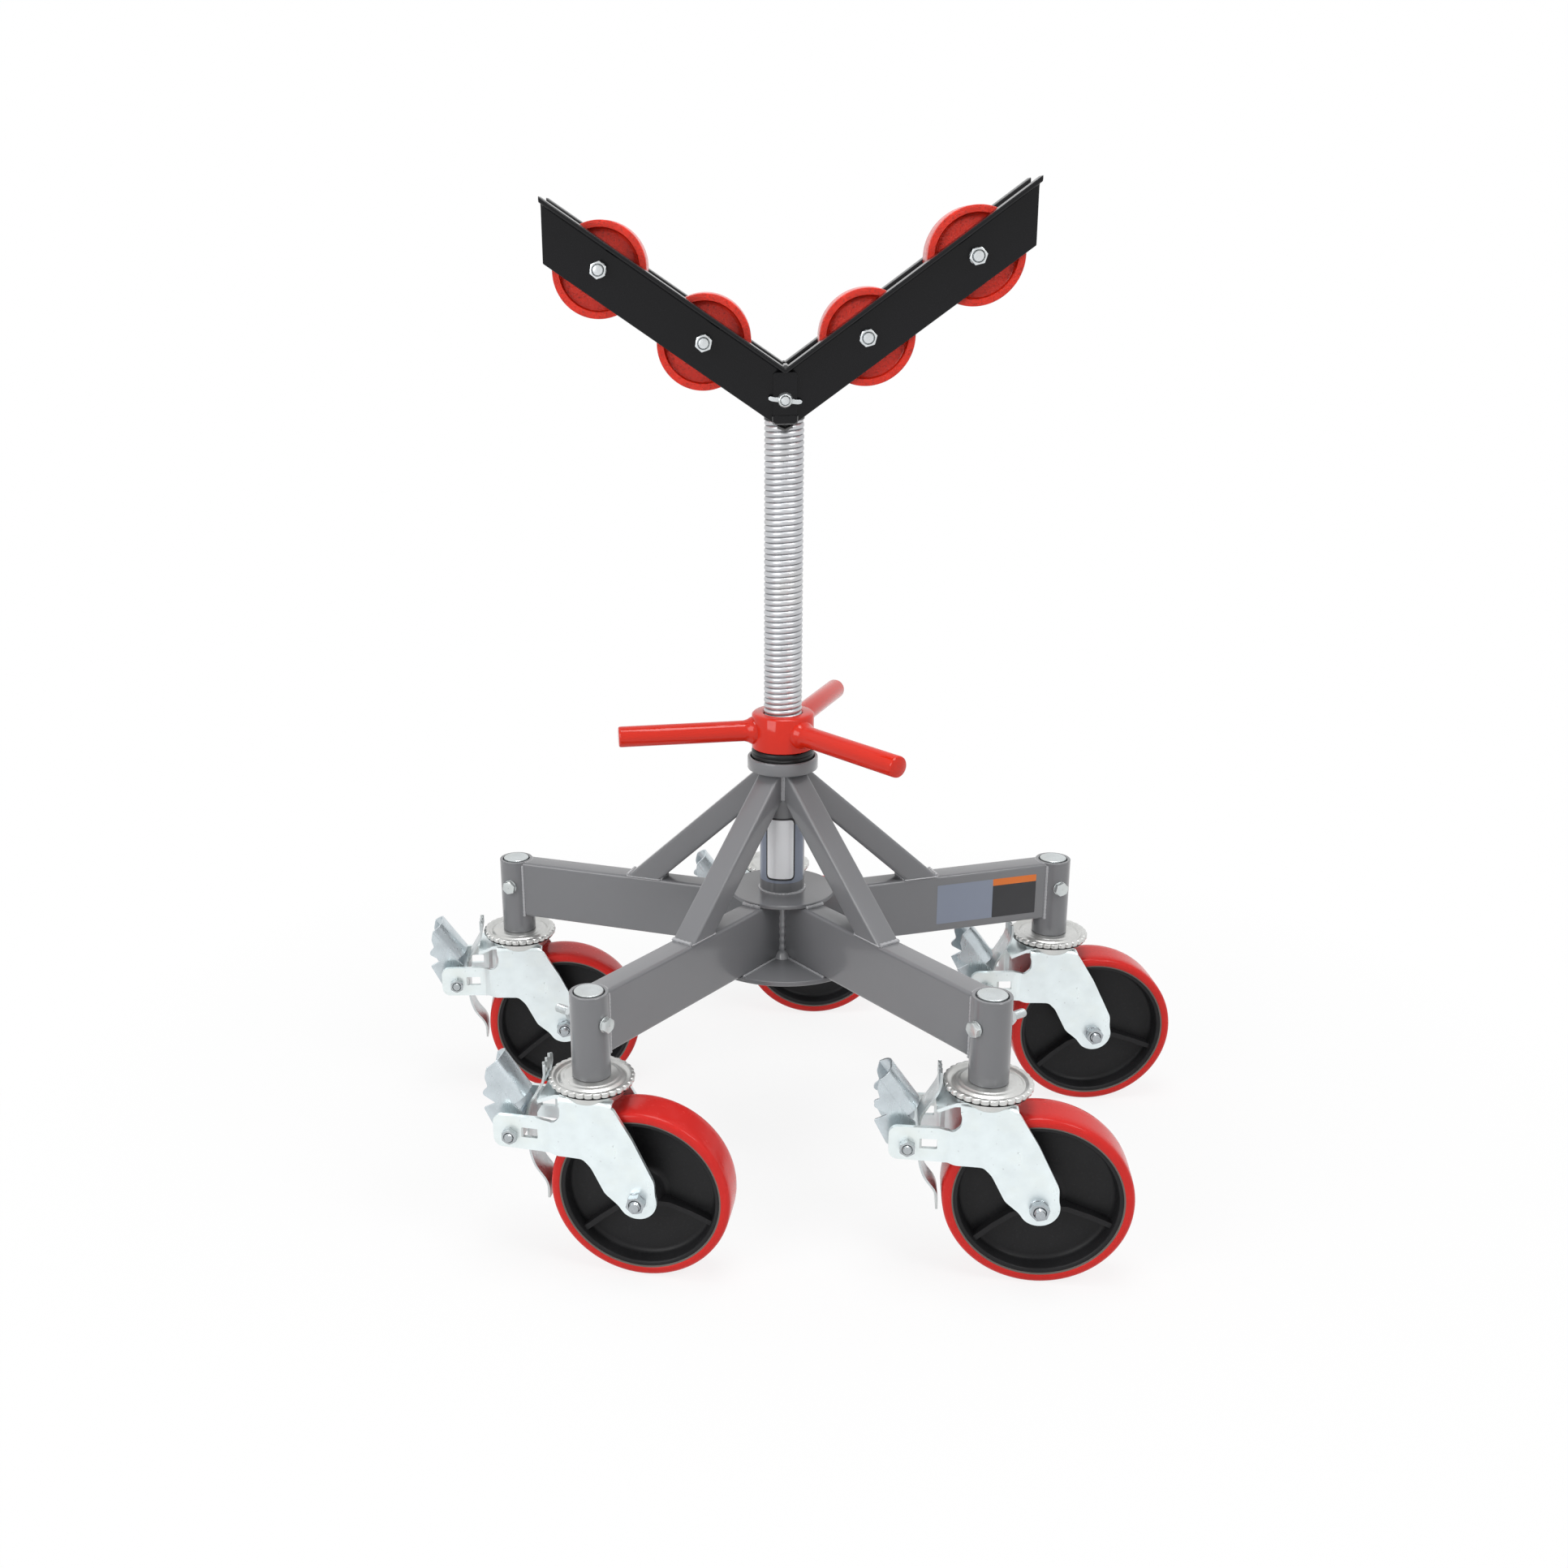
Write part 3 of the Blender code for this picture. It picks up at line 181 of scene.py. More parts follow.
# %% A mesh that grows form by form
class Build:
    """Gathers forms in one mesh."""

    def __init__(self):
        self.mesh = bmesh.new()

    def grid(self, rows, place=HERE, caps=True):
        """Joins rings of points into a skin, and closes its ends where caps is set."""
        made = [[self.mesh.verts.new(place @ Vector(point)) for point in row] for row in rows]
        count = len(made[0])
        for low, high in zip(made, made[1:]):
            for i in range(count):
                j = (i + 1) % count
                self.mesh.faces.new((low[i], low[j], high[j], high[i]))
        if caps:
            self.mesh.faces.new(list(reversed(made[0])))
            self.mesh.faces.new(made[-1])

    def lathe(self, profile, place=HERE, sides=96, closed=False):
        """Spins (radius, height) points about Z. A closed profile makes a ring."""
        angles = round_angles(sides)
        rows = [[polar(radius, a, height) for a in angles] for radius, height in profile]
        if closed:
            rows.append(rows[0])
        self.grid(rows, place, caps=not closed)

    def plate(self, outline, low, high, place=HERE):
        """Gives an (x, z) outline thickness along Y."""
        self.grid([[(x, y, z) for x, z in outline] for y in (low, high)], place)

    def tube(self, line, radius_at, place=HERE, sides=8):
        """A round skin along a line, with its own radius at each point."""
        points = [Vector(point) for point in line]
        rows = []
        for i, point in enumerate(points):
            ahead = points[min(i + 1, len(points) - 1)] - points[max(i - 1, 0)]
            ahead.normalize()
            side = ahead.cross(Vector((0.31, 0.17, 0.93))).normalized()
            up = side.cross(ahead)
            radius = radius_at(i)
            spokes = [math.cos(a) * side + math.sin(a) * up for a in round_angles(sides)]
            rows.append([point + radius * spoke for spoke in spokes])
        self.grid(rows, place)

    def weld(self, line, radius, place=HERE):
        """A bead of weld: a tube that swells and narrows as the puddle moved."""

        def swell(i):
            return radius * (0.93 + 0.09 * math.sin(i * 1.25) + 0.05 * math.sin(i * 0.37))

        self.tube(spaced(line, radius * 0.45), swell, place)

    def data(self, name, finish):
        """The forms as one mesh with its finish."""
        bmesh.ops.remove_doubles(self.mesh, verts=self.mesh.verts, dist=1e-7)
        bmesh.ops.recalc_face_normals(self.mesh, faces=self.mesh.faces)
        data = bpy.data.meshes.new(name)
        self.mesh.to_mesh(data)
        self.mesh.free()
        data.materials.append(finish)
        return data

    def done(self, name, finish, body, place=HERE, smooth=38, bevel=0.0):
        """Shows the mesh as one piece that rides on a body."""
        return show(name, self.data(name, finish), body, place, smooth, bevel)

    def five(self, name, finish, body, place_of, node="", smooth=38, bevel=0.0):
        """Shows the mesh at every leg. In each name the braces stand for the leg's own name."""
        data = self.data(name.format(LEGS[0]), finish)
        for leg_name in LEGS:
            place = place_of(leg_name)
            piece = show(name.format(leg_name), data, body.format(leg_name), place, smooth, bevel)
            if node:
                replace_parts(piece, node.format(leg_name))
        print(name.format("NAME"), "is shown", len(LEGS), "times, with", len(data.vertices), "points")


print("mesh builder ready")

# %% A piece that rides on a body
def show(name, data, body, place=HERE, smooth=38, bevel=0.0):
    """Shows a mesh as a piece that rides on a body."""
    piece = bpy.data.objects.new(name, data)
    bpy.context.scene.collection.objects.link(piece)
    piece.matrix_world = place
    data.shade_smooth()
    data.set_sharp_from_angle(angle=math.radians(smooth))
    if bevel:
        soften_edges(piece, bevel)
    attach(piece, body)
    return piece


def soften_edges(piece, width, segments=3):
    """Rounds a piece's sharp edges."""
    modifier = piece.modifiers.new("rounded", "BEVEL")
    modifier.width = width
    modifier.segments = segments
    modifier.limit_method = "ANGLE"
    modifier.angle_limit = math.radians(40)
    modifier.harden_normals = True


print("pieces can be shown")

# %% [markdown]
# ## Shader maths as expressions
# A finish changes a little over its surface: paint has a fine skin like an orange's, zinc is
# mottled. Those changes are sums and products of noise, and they read best as Python. `Signal`
# wraps a socket, so `rough + 0.1 * noise` adds the Math nodes by itself. Any other node comes from
# `Nodes.node`, which serves the materials and the sky alike.

# %% A socket that can be reckoned with
class Signal:
    """A value that changes over a surface."""

    def __init__(self, nodes, socket):
        self.nodes = nodes
        self.socket = socket

    def output(self, name):
        """Another output of the node that this value comes from."""
        return Signal(self.nodes, self.socket.node.outputs[name])

    def reckon(self, operation, first, second):
        """A Math node on two values."""
        return self.nodes.node("ShaderNodeMath", {"operation": operation}, {0: first, 1: second})

    def __add__(self, other):
        return self.reckon("ADD", self, other)

    def __radd__(self, other):
        return self.reckon("ADD", other, self)

    def __sub__(self, other):
        return self.reckon("SUBTRACT", self, other)

    def __rsub__(self, other):
        return self.reckon("SUBTRACT", other, self)

    def __mul__(self, other):
        return self.reckon("MULTIPLY", self, other)

    def __rmul__(self, other):
        return self.reckon("MULTIPLY", other, self)


class Nodes:
    """A tree of nodes."""

    def __init__(self, tree):
        self.tree = tree

    def node(self, kind, settings, sockets, output=0):
        """Any node: its settings first, then what its sockets hold or are linked to."""
        node = self.tree.nodes.new(kind)
        for name, value in settings.items():
            setattr(node, name, value)
        for key, value in sockets.items():
            if isinstance(value, Signal):
                self.link(value, node.inputs[key])
            else:
                node.inputs[key].default_value = value
        return Signal(self, node.outputs[output])

    def link(self, signal, socket):
        """Links a signal to a socket."""
        self.tree.links.new(signal.socket, socket)


print("sums and products of signals ready")

# %% A material and what feeds it
class Finish(Nodes):
    """A material with one Principled shader, and the nodes that feed it."""

    def __init__(self, name, slot, colour, roughness, metallic=0.0, coat=0.0, gleam=0.5, polish=0.14):
        self.material = bpy.data.materials.new(name)
        self.material["slot"] = slot
        self.material.use_nodes = True
        super().__init__(self.material.node_tree)
        self.shader = self.tree.nodes["Principled BSDF"]
        self.colour = colour
        self.shader.inputs["Base Color"].default_value = (*colour, 1)
        self.shader.inputs["Roughness"].default_value = roughness
        self.shader.inputs["Metallic"].default_value = metallic
        self.shader.inputs["Specular IOR Level"].default_value = gleam
        self.shader.inputs["Coat Weight"].default_value = coat
        self.shader.inputs["Coat Roughness"].default_value = polish
        self.spot = self.node("ShaderNodeTexCoord", {}, {}, "Object")

    def feed(self, name, signal):
        """Links a signal to a socket of the shader."""
        self.link(signal, self.shader.inputs[name])

    def vector(self, operation, first, *others, output=0):
        """A Vector Math node."""
        sockets = dict(enumerate((first, *others)))
        return self.node("ShaderNodeVectorMath", {"operation": operation}, sockets, output)

    def noise(self, scale, detail=3.0, stretch=(1, 1, 1), roughness=0.55):
        """Cloudy noise from 0 to 1, with scale in waves a metre."""
        spot = self.vector("MULTIPLY", self.spot, stretch)
        sockets = {"Vector": spot, "Scale": scale, "Detail": detail, "Roughness": roughness}
        return self.node("ShaderNodeTexNoise", {}, sockets)

    def between(self, signal, low, high):
        """The signal stretched so that low becomes 0 and high becomes 1, and held there."""
        sockets = {"Value": signal, "From Min": low, "From Max": high}
        return self.node("ShaderNodeMapRange", {"clamp": True}, sockets)

    def mix(self, share, first, second):
        """A blend of two colours."""
        sockets = {0: share, 6: first, 7: second}
        return self.node("ShaderNodeMix", {"data_type": "RGBA"}, sockets, 2)

    def tint(self, share, factor):
        """The finish's own colour, blended towards a brighter or darker one."""
        other = [min(1.0, channel * factor) for channel in self.colour]
        return self.mix(share, (*self.colour, 1), (*other, 1))

    def bump(self, height, strength, distance):
        """Relief on the surface."""
        sockets = {"Height": height, "Strength": strength, "Distance": distance}
        self.feed("Normal", self.node("ShaderNodeBump", {}, sockets))


print("finishes ready")

# %% [markdown]
# ## Paint
# The frame has a satin grey powder coat, the nut and its bars a glossy red enamel, and the V a
# black coat. Sprayed paint is never flat: it has a fine orange peel, it pools slightly, and dust
# dulls it in places. So each coat gets a small relief, a cloudy gloss and a faint change of tone,
# and a clear layer over it carries the sharp highlights. The marks could be drawn in a texture, but
# noise needs no unwrapping and stays as fine on a long leg as on a small nut. Paint runs glossier
# over a bead of weld, so the beads have two wetter coats of their own. The grey beads are also
# painted about twice as light as the frame: a painted highlight for the glint along each bead.
# The black beads are a little lighter than the V.

# %% Sprayed coats
def coat_of_paint(name, slot, colour, roughness, peel, coat, gleam, tone=1.10, polish=0.14):
    """A sprayed coat with orange peel, cloudy gloss and faint specks."""
    finish = Finish(name, slot, colour, roughness, 0.0, coat, gleam, polish)
    cloud = finish.noise(9.0, 4.0)
    fine = finish.noise(300.0, 1.0)
    specks = finish.between(finish.noise(700.0, 1.0), 0.68, 0.84)
    finish.feed("Base Color", finish.tint(cloud * 0.5 + specks * 0.2, tone))
    finish.feed("Roughness", roughness - 0.02 + cloud * 0.05 + specks * 0.05)
    finish.bump(fine, 0.10, peel)
    return finish.material


GREY = coat_of_paint("grey_powder_coat", "grey_paint", (0.180, 0.183, 0.192), 0.28, 0.00008, 0.55, 0.25)
RED = coat_of_paint("red_enamel", "red_paint", (0.610, 0.018, 0.005), 0.24, 0.00008, 0.60, 0.04, 1.10, 0.06)
BLACK = coat_of_paint("black_coat", "black_paint", (0.0032, 0.0032, 0.0040), 0.26, 0.00010, 0.34, 0.07, 2.2)
# The grey beads' colour, about twice the frame's, is a painted highlight standing in for their glint.
BEAD = coat_of_paint("grey_weld_painted_highlight", "grey_paint", (0.370, 0.375, 0.390), 0.18, 0.00008, 0.90, 0.40)
BLACK_BEAD = coat_of_paint("black_weld", "black_paint", (0.01, 0.01, 0.011), 0.16, 0.00010, 0.90, 0.70, 1.5)
print("paints:", GREY.name, RED.name, BLACK.name, BEAD.name, BLACK_BEAD.name)

# %% [markdown]
# ## Castings
# The rollers are rough castings in a brighter red, and the wheels' centres are black ones. Sand
# leaves a coarse grain under the paint, so their relief is larger and their gloss patchier. Real
# bumps in the mesh would need millions of faces, so the grain is relief in the shader alone.

# %% Rough cast surfaces
def casting(name, slot, colour, roughness, grain, tone, gleam, coat=0.0):
    """A painted casting: coarse grain, pits and patchy gloss."""
    finish = Finish(name, slot, colour, roughness, 0.0, coat, gleam)
    grit = finish.noise(330.0, 4.0, roughness=0.7)
    cloud = finish.noise(45.0, 3.0)
    pits = finish.between(grit, 0.54, 0.66)
    finish.feed("Base Color", finish.tint(finish.between(cloud, 0.4, 0.7) * 0.4 + pits * 0.8, tone))
    finish.feed("Roughness", roughness - 0.08 + grit * 0.22)
    finish.bump(grit - pits * 0.4, 0.5, grain)
    return finish.material


ROLLER_RED = casting("red_casting", "red_paint", (0.76, 0.026, 0.009), 0.22, 0.0030, 0.50, 0.18, 0.35)
HUB_BLACK = casting("black_casting", "black_cast", (0.0125, 0.0125, 0.0135), 0.40, 0.00025, 1.4, 0.20)
print("castings:", ROLLER_RED.name, HUB_BLACK.name)

# %% [markdown]
# ## Zinc
# Plated steel is bright and a little blue, with cloudy patches, yellowish stains, small nicks and
# fine rub marks. The forks are the brightest. Pedals, stems, straps and bolts are darker and
# smoother, and the rings darker and warmer, so each has a plating of its own; that darker colour is
# painted reflection, for the dark surroundings that bright plating mirrors. The screw was rolled,
# its groove is darkened with painted shade, and the groove is known by its distance from the axis.

# %% Bright plating
RUBBED_UPRIGHT = (1, 1, 0.12)
RUBBED_ACROSS = (1, 0.2, 1)
SCREW_GROOVE = (20.7 * MM, 21.7 * MM)
# A near-black colour for the painted shade in the screw's groove.
GROOVE_SHADE_COLOUR = (0.10, 0.10, 0.11, 1)


def plating(name, slot, colour, roughness, stretch, tone, relief=0.12, groove=None):
    """Zinc plate with clouds, stains, nicks and rub marks, and with painted shade in a groove if there is
    one.
    """
    finish = Finish(name, slot, colour, roughness, 0.82)
    cloud = finish.noise(38.0, 4.0)
    stain = finish.between(finish.noise(17.0, 3.0), 0.50, 0.72)
    rubs = finish.between(finish.noise(260.0, 2.0, stretch), 0.52, 0.80)
    clouded = finish.tint(finish.between(cloud, 0.35, 0.7), tone)
    warm = (colour[0] * 0.96, colour[1] * 0.92, colour[2] * 0.84, 1)
    shade = finish.mix(stain * 0.4, clouded, warm)
    if groove:
        # Painted shade: the thread's groove is darkened towards that near-black colour.
        from_axis = finish.vector("MULTIPLY", finish.spot, (1, 1, 0))
        groove_shade = 1 - finish.between(finish.vector("LENGTH", from_axis, output="Value"), *groove)
        shade = finish.mix(groove_shade * 0.75, shade, GROOVE_SHADE_COLOUR)
    nicks = finish.between(finish.noise(210.0, 2.0), 0.70, 0.76)
    dull = tuple(channel * 0.45 for channel in colour)
    finish.feed("Base Color", finish.mix(nicks * 0.5, shade, (*dull, 1)))
    finish.feed("Roughness", roughness + cloud * 0.16 - rubs * (0.8 * relief))
    finish.bump(rubs + cloud * 0.5, relief, 0.0001)
    return finish.material


ZINC = plating("zinc_plate", "zinc", (0.86, 0.94, 0.955), 0.27, RUBBED_UPRIGHT, 0.91)
# These platings are darker than the forks': that darker colour is painted reflection, for the dark
# surroundings that plating mirrors.
PEDAL_ZINC = plating("pedal_zinc", "zinc", (0.63, 0.695, 0.73), 0.22, RUBBED_UPRIGHT, 0.80)
STEM_ZINC = plating("stem_zinc", "zinc", (0.62, 0.66, 0.67), 0.24, RUBBED_UPRIGHT, 0.80)
BOLT_ZINC = plating("bolt_zinc", "zinc", (0.72, 0.755, 0.775), 0.19, RUBBED_ACROSS, 0.74)
GEAR_ZINC = plating("fork_bolt_zinc", "zinc", (0.46, 0.495, 0.52), 0.16, RUBBED_ACROSS, 0.70)
RING_ZINC = plating("ring_zinc", "zinc", (0.66, 0.665, 0.65), 0.22, (1, 1, 0.2), 0.86, 0.02)
SCREW_COLOUR = (0.59, 0.60, 0.62)
SCREW_ZINC = plating("rolled_zinc", "screw_zinc", SCREW_COLOUR, 0.30, (1, 1, 0.3), 0.86, 0.02, SCREW_GROOVE)
print("plating:", ZINC.name, PEDAL_ZINC.name, STEM_ZINC.name, BOLT_ZINC.name)
print("darker plating:", GEAR_ZINC.name, RING_ZINC.name, SCREW_ZINC.name)

# %% [markdown]
# ## Tread, bond, seals and labels
# The tread is a poured, glassy red polyurethane with faint swirls, and a thin grey band of bond
# shows beside it. Seals and labels are smooth moulded or printed skins too, so one recipe serves.

# %% Poured and moulded skins
def poured(name, slot, colour, roughness, coat, tone, gleam=0.3, relief=0.0004):
    """A smooth moulded skin with slow swirls and a faint haze of dust."""
    finish = Finish(name, slot, colour, roughness, 0.0, coat, gleam)
    swirl = finish.noise(14.0, 3.0, (1, 0.4, 1))
    haze = finish.between(finish.noise(120.0, 4.0), 0.48, 0.75)
    finish.feed("Base Color", finish.tint(finish.between(swirl, 0.35, 0.7) * 0.5 + haze * 0.15, tone))
    finish.feed("Roughness", roughness + haze * 0.14)
    finish.bump(swirl * 0.6 + haze * 0.2, 0.15, relief)
    return finish.material


TREAD = poured("red_polyurethane", "red_tread", (0.60, 0.024, 0.020), 0.20, 0.16, 1.15, 0.08, 0.0002)
BOND = poured("grey_bond", "black_cast", (0.140, 0.124, 0.112), 0.5, 0.0, 1.3, 0.2)
SHROUD = poured("black_shroud", "black_seal", (0.0080, 0.0080, 0.0086), 0.35, 0.06, 1.8, 0.25)
LABEL_BLUE = poured("blue_grey_label", "grey_paint", (0.245, 0.277, 0.350), 0.36, 0.1, 1.08)
LABEL_WHITE = poured("pale_label", "grey_paint", (0.93, 0.945, 0.97), 0.28, 0.6, 0.97, 0.7, 0.00002)
LABEL_BLACK = poured("dark_label", "grey_paint", (0.035, 0.035, 0.038), 0.34, 0.1, 1.3)
LABEL_ORANGE = poured("orange_label", "grey_paint", (0.72, 0.18, 0.03), 0.34, 0.1, 1.08)
print("moulded finishes:", TREAD.name, BOND.name, SHROUD.name)

# %% [markdown]
# ## Nuts, bolts and washers
# A hexagon nut isn't a plain prism: it is cut from bar and its corners are turned off at about 30
# degrees, which leaves the curved edges that catch the light. So the helper finds, for every angle,
# how far out the flat lies, and drops the rim by the slope of the chamfer there.

# %% Fasteners along Z
TO_FRONT = turn(math.pi / 2, "X")
TO_BACK = turn(-math.pi / 2, "X")


def in_front(distance, about=0.0):
    """A frame that far in front of the middle. Its Z axis points to the front."""
    return shift(0, -distance, 0) @ TO_FRONT @ turn(about)


def behind(distance, about=0.0):
    """A frame that far behind the middle. Its Z axis points to the back."""
    return shift(0, distance, 0) @ TO_BACK @ turn(about)


def hexagon(build, place, flats, height, bore):
    """A nut or a bolt's head that stands on the XY plane, so wide across its flats."""
    angles = round_angles(72)
    reach = [flats / 2 / math.cos((a % (math.pi / 3)) - math.pi / 6) for a in angles]
    start = flats / 2 * 0.97
    falls = [(r - start) * 0.5 for r in reach]
    inner, rim, floor = [bore] * 72, [start] * 72, [0] * 72
    levels = [(inner, floor), (rim, floor), (reach, [fall * 0.6 for fall in falls])]
    levels += [(reach, [height - fall for fall in falls]), (rim, [height] * 72), (inner, [height] * 72)]
    rows = [[polar(r, a, z) for r, a, z in zip(radii, angles, heights)] for radii, heights in levels]
    build.grid(rows + rows[:1], place, caps=False)


def disc(build, place, radius, bore, thickness, edge, sides):
    """A flat ring on the XY plane with its edges broken."""
    ring = [(bore, 0), (radius - edge, 0), (radius, edge), (radius, thickness - edge)]
    ring += [(radius - edge, thickness), (bore, thickness)]
    build.lathe(ring, place, sides, True)


def washer(build, place, radius, bore, thickness):
    """A flat washer with its edges just broken."""
    disc(build, place, radius, bore, thickness, thickness * 0.2, 48)


def stud(build, place, radius, length, pitch):
    """A bolt's end: rings of thread and a domed tip."""
    profile = []
    turns = max(2, int(length / pitch))
    for k in range(turns):
        profile.append((radius, k * pitch))
        profile.append((radius - pitch * 0.35, (k + 0.5) * pitch))
    profile.append((radius * 0.85, turns * pitch))
    profile.append((radius * 0.4, turns * pitch + radius * 0.1))
    build.lathe(profile, place, 32)


print("fasteners ready")

# %% [markdown]
# ## The column and its plates
# A plain steel tube carries everything. One round plate sits on the legs and a wider one under
# them, and on top a turned collar holds the bearing. Bevelled cylinders would come close, but a
# profile spun round the axis gives each rim its own small curve and needs no hole cut in it. All
# are welded, so the column gets its bead where it passes through the upper plate.

# %% Column, plates and collar
LEG_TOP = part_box("leg_right")[1].z - 0.5 * MM
COLUMN_TOP = column_high.z
TUBE_RADIUS = 27 * MM
PLATE_RADII = {"lower_plate": 105 * MM, "upper_plate": 64 * MM}

column = Build()
column_wall = from_base(column_low.z, [(23.5, 0), (27, 0)]) + from_base(COLUMN_TOP, [(27, 0), (23.5, 0)])
column.lathe(column_wall, closed=True)
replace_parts(column.done("column", GREY, "frame", COLUMN), "column_tube")
column_bead = Build()
column_bead.weld([polar(TUBE_RADIUS, a / 40, LEG_TOP + 5.6 * MM) for a in range(252)], 2.2 * MM)
column_bead.done("column_weld", BEAD, "frame", COLUMN)

plates = Build()
for node, radius in PLATE_RADII.items():
    low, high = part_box(node)
    disc(plates, shift(0, 0, low.z), radius, TUBE_RADIUS, high.z - low.z, 0.8 * MM, 128)
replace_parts(plates.done("round_plates", GREY, "frame", COLUMN), "lower_plate", "upper_plate")

collar = Build()
collar_side = [(23.5, 0), (40.8, 0), (41.6, 0.4), (42, 1.2), (42, 13.6), (41.5, 14.8), (40.5, 15.3)]
collar_side += [(38.9, 15.3), (38.2, 14.6), (38, 7.5), (23.5, 7.5)]
collar.lathe(from_base(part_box("top_collar")[0].z, collar_side), sides=128, closed=True)
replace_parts(collar.done("bearing_collar", GREY, "frame", COLUMN, smooth=30), "top_collar")

shroud = Build()
shroud_side = [(23.5, 0), (37.0, 0), (37.2, 0.6), (37.2, 9.4), (36.6, 10.0), (36.2, 10.8), (36.4, 11.8)]
shroud_side += [(36.9, 12.4), (37, 15.2), (36.2, 17), (34.5, 18.1), (23.5, 18.2)]
shroud.lathe(from_base(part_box("thrust_ring")[0].z, shroud_side), sides=128, closed=True)
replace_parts(shroud.done("bearing_shroud", SHROUD, "frame", COLUMN), "thrust_ring")
print("column top at", round(COLUMN_TOP, 4))

# %% [markdown]
# ## Legs and sockets
# Each leg is a rectangular tube on edge. A tube has rounded corners, which give its long edges a
# soft highlight. A bevelled box would have them too, but its flat ends would miss the round column
# and the round socket. So the section is an outline with curved corners, and each of its points
# runs from the one skin to the other. The beads down the socket, between the legs and along the
# plates are a piece of their own, because paint is glossier on a bead, and their lighter colour is
# a painted highlight.

# %% Five legs
LEG_DEPTH = 75 * MM
LEG_LOW = LEG_TOP - LEG_DEPTH
LEG_HALF = 15 * MM
TUBE_CORNER = 4.5 * MM
SOCKET_RADIUS = 21.6 * MM
SOCKET_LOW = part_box("leg_right")[0].z
SOCKET_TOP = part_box("leg_right")[1].z


def tube_section(width, depth):
    """A rectangular tube's section about the origin, in (y, z)."""
    return panel(-width / 2, width / 2, -depth / 2, depth / 2, TUBE_CORNER, 5)


def reach_of(radius, y):
    """How far out a round tube's skin stands at a place off its middle."""
    return math.sqrt(max(radius ** 2 - y ** 2, 0))


def at_socket(y):
    """Where a leg's side meets its socket."""
    return STEM_RADIUS - reach_of(SOCKET_RADIUS, y)


leg = Build()
section = tube_section(2 * LEG_HALF, LEG_DEPTH)
middle = (LEG_TOP + LEG_LOW) / 2
inner = [(reach_of(TUBE_RADIUS, y), y, middle + z) for y, z in section]
outer = [(at_socket(y) + 1 * MM, y, middle + z) for y, z in section]
leg.grid([inner, outer])
socket_wall = from_base(SOCKET_LOW, [(17.7, 0), (21.1, 0), (21.6, 0.5)])
socket_wall += from_base(SOCKET_TOP, [(21.6, -0.6), (21.1, 0), (18.2, 0), (17.7, -0.5)])
leg.lathe(socket_wall, shift(STEM_RADIUS, 0, 0), 72, True)
leg.five("leg_{}_tube", GREY, "frame", leg_frame, "leg_{}")

# %% The legs' welds
leg_beads = Build()
for side in (-1, 1):
    y = side * LEG_HALF
    leg_beads.weld([(at_socket(y), y, LEG_LOW), (at_socket(y), y, LEG_TOP - 3 * MM)], 2.0 * MM)
    edge = side * (LEG_HALF + 0.4 * MM)
    leg_beads.weld([(34 * MM, edge, LEG_LOW + 0.4 * MM), (102 * MM, edge, LEG_LOW + 0.4 * MM)], 1.7 * MM)
over = [y / 10 * LEG_HALF for y in range(-8, 9)]
upper_rim = PLATE_RADII["upper_plate"]
leg_beads.weld([(at_socket(y), y, LEG_TOP - 0.9 * MM) for y in over], 1.3 * MM)
leg_beads.weld([(reach_of(upper_rim, y) + 0.8 * MM, y, LEG_TOP + 1.2 * MM) for y in over], 2.7 * MM)
between_legs = turn(-LEG_STEP / 2)
leg_beads.weld([(29 * MM, 0, LEG_LOW), (29 * MM, 0, LEG_TOP)], 4.4 * MM, between_legs)
lump = mm([(9.5, 0), (8.4, 4), (6, 7.6), (2.8, 9.4), (0.3, 9.8)])
leg_beads.lathe(lump, between_legs @ shift(32 * MM, 0, LEG_LOW), 24)
leg_beads.five("leg_{}_welds", BEAD, "frame", leg_frame)

# %% [markdown]
# ## Braces
# A square tube runs from the top of each leg up to the column, just under the collar. Its ends are
# sawn level with the leg and coped round the column. Each corner line of the tube is simply run
# until it meets the leg below and the column above, and the beads follow the same lines.

# %% Five braces
FOOT = LEG_TOP + 0.3 * MM
FOOT_REACH = 200 * MM
BRACE_DEPTH = 30 * MM
SLOPE = math.atan2(COLUMN_TOP - FOOT, FOOT_REACH - TUBE_RADIUS)


def brace_ends(y, n):
    """Both ends of one of the tube's corner lines, n below its upper face."""
    drop = n / math.cos(SLOPE)
    upper_z = COLUMN_TOP
    x = TUBE_RADIUS + (COLUMN_TOP - drop - upper_z) / math.tan(SLOPE)
    coped = reach_of(TUBE_RADIUS + 0.2 * MM, y)
    if x < coped:
        x = coped
        upper_z = COLUMN_TOP - drop - (coped - TUBE_RADIUS) * math.tan(SLOPE)
    foot_x = FOOT_REACH - n / math.sin(SLOPE)
    return (x, y, min(upper_z, COLUMN_TOP)), (foot_x, y, FOOT)


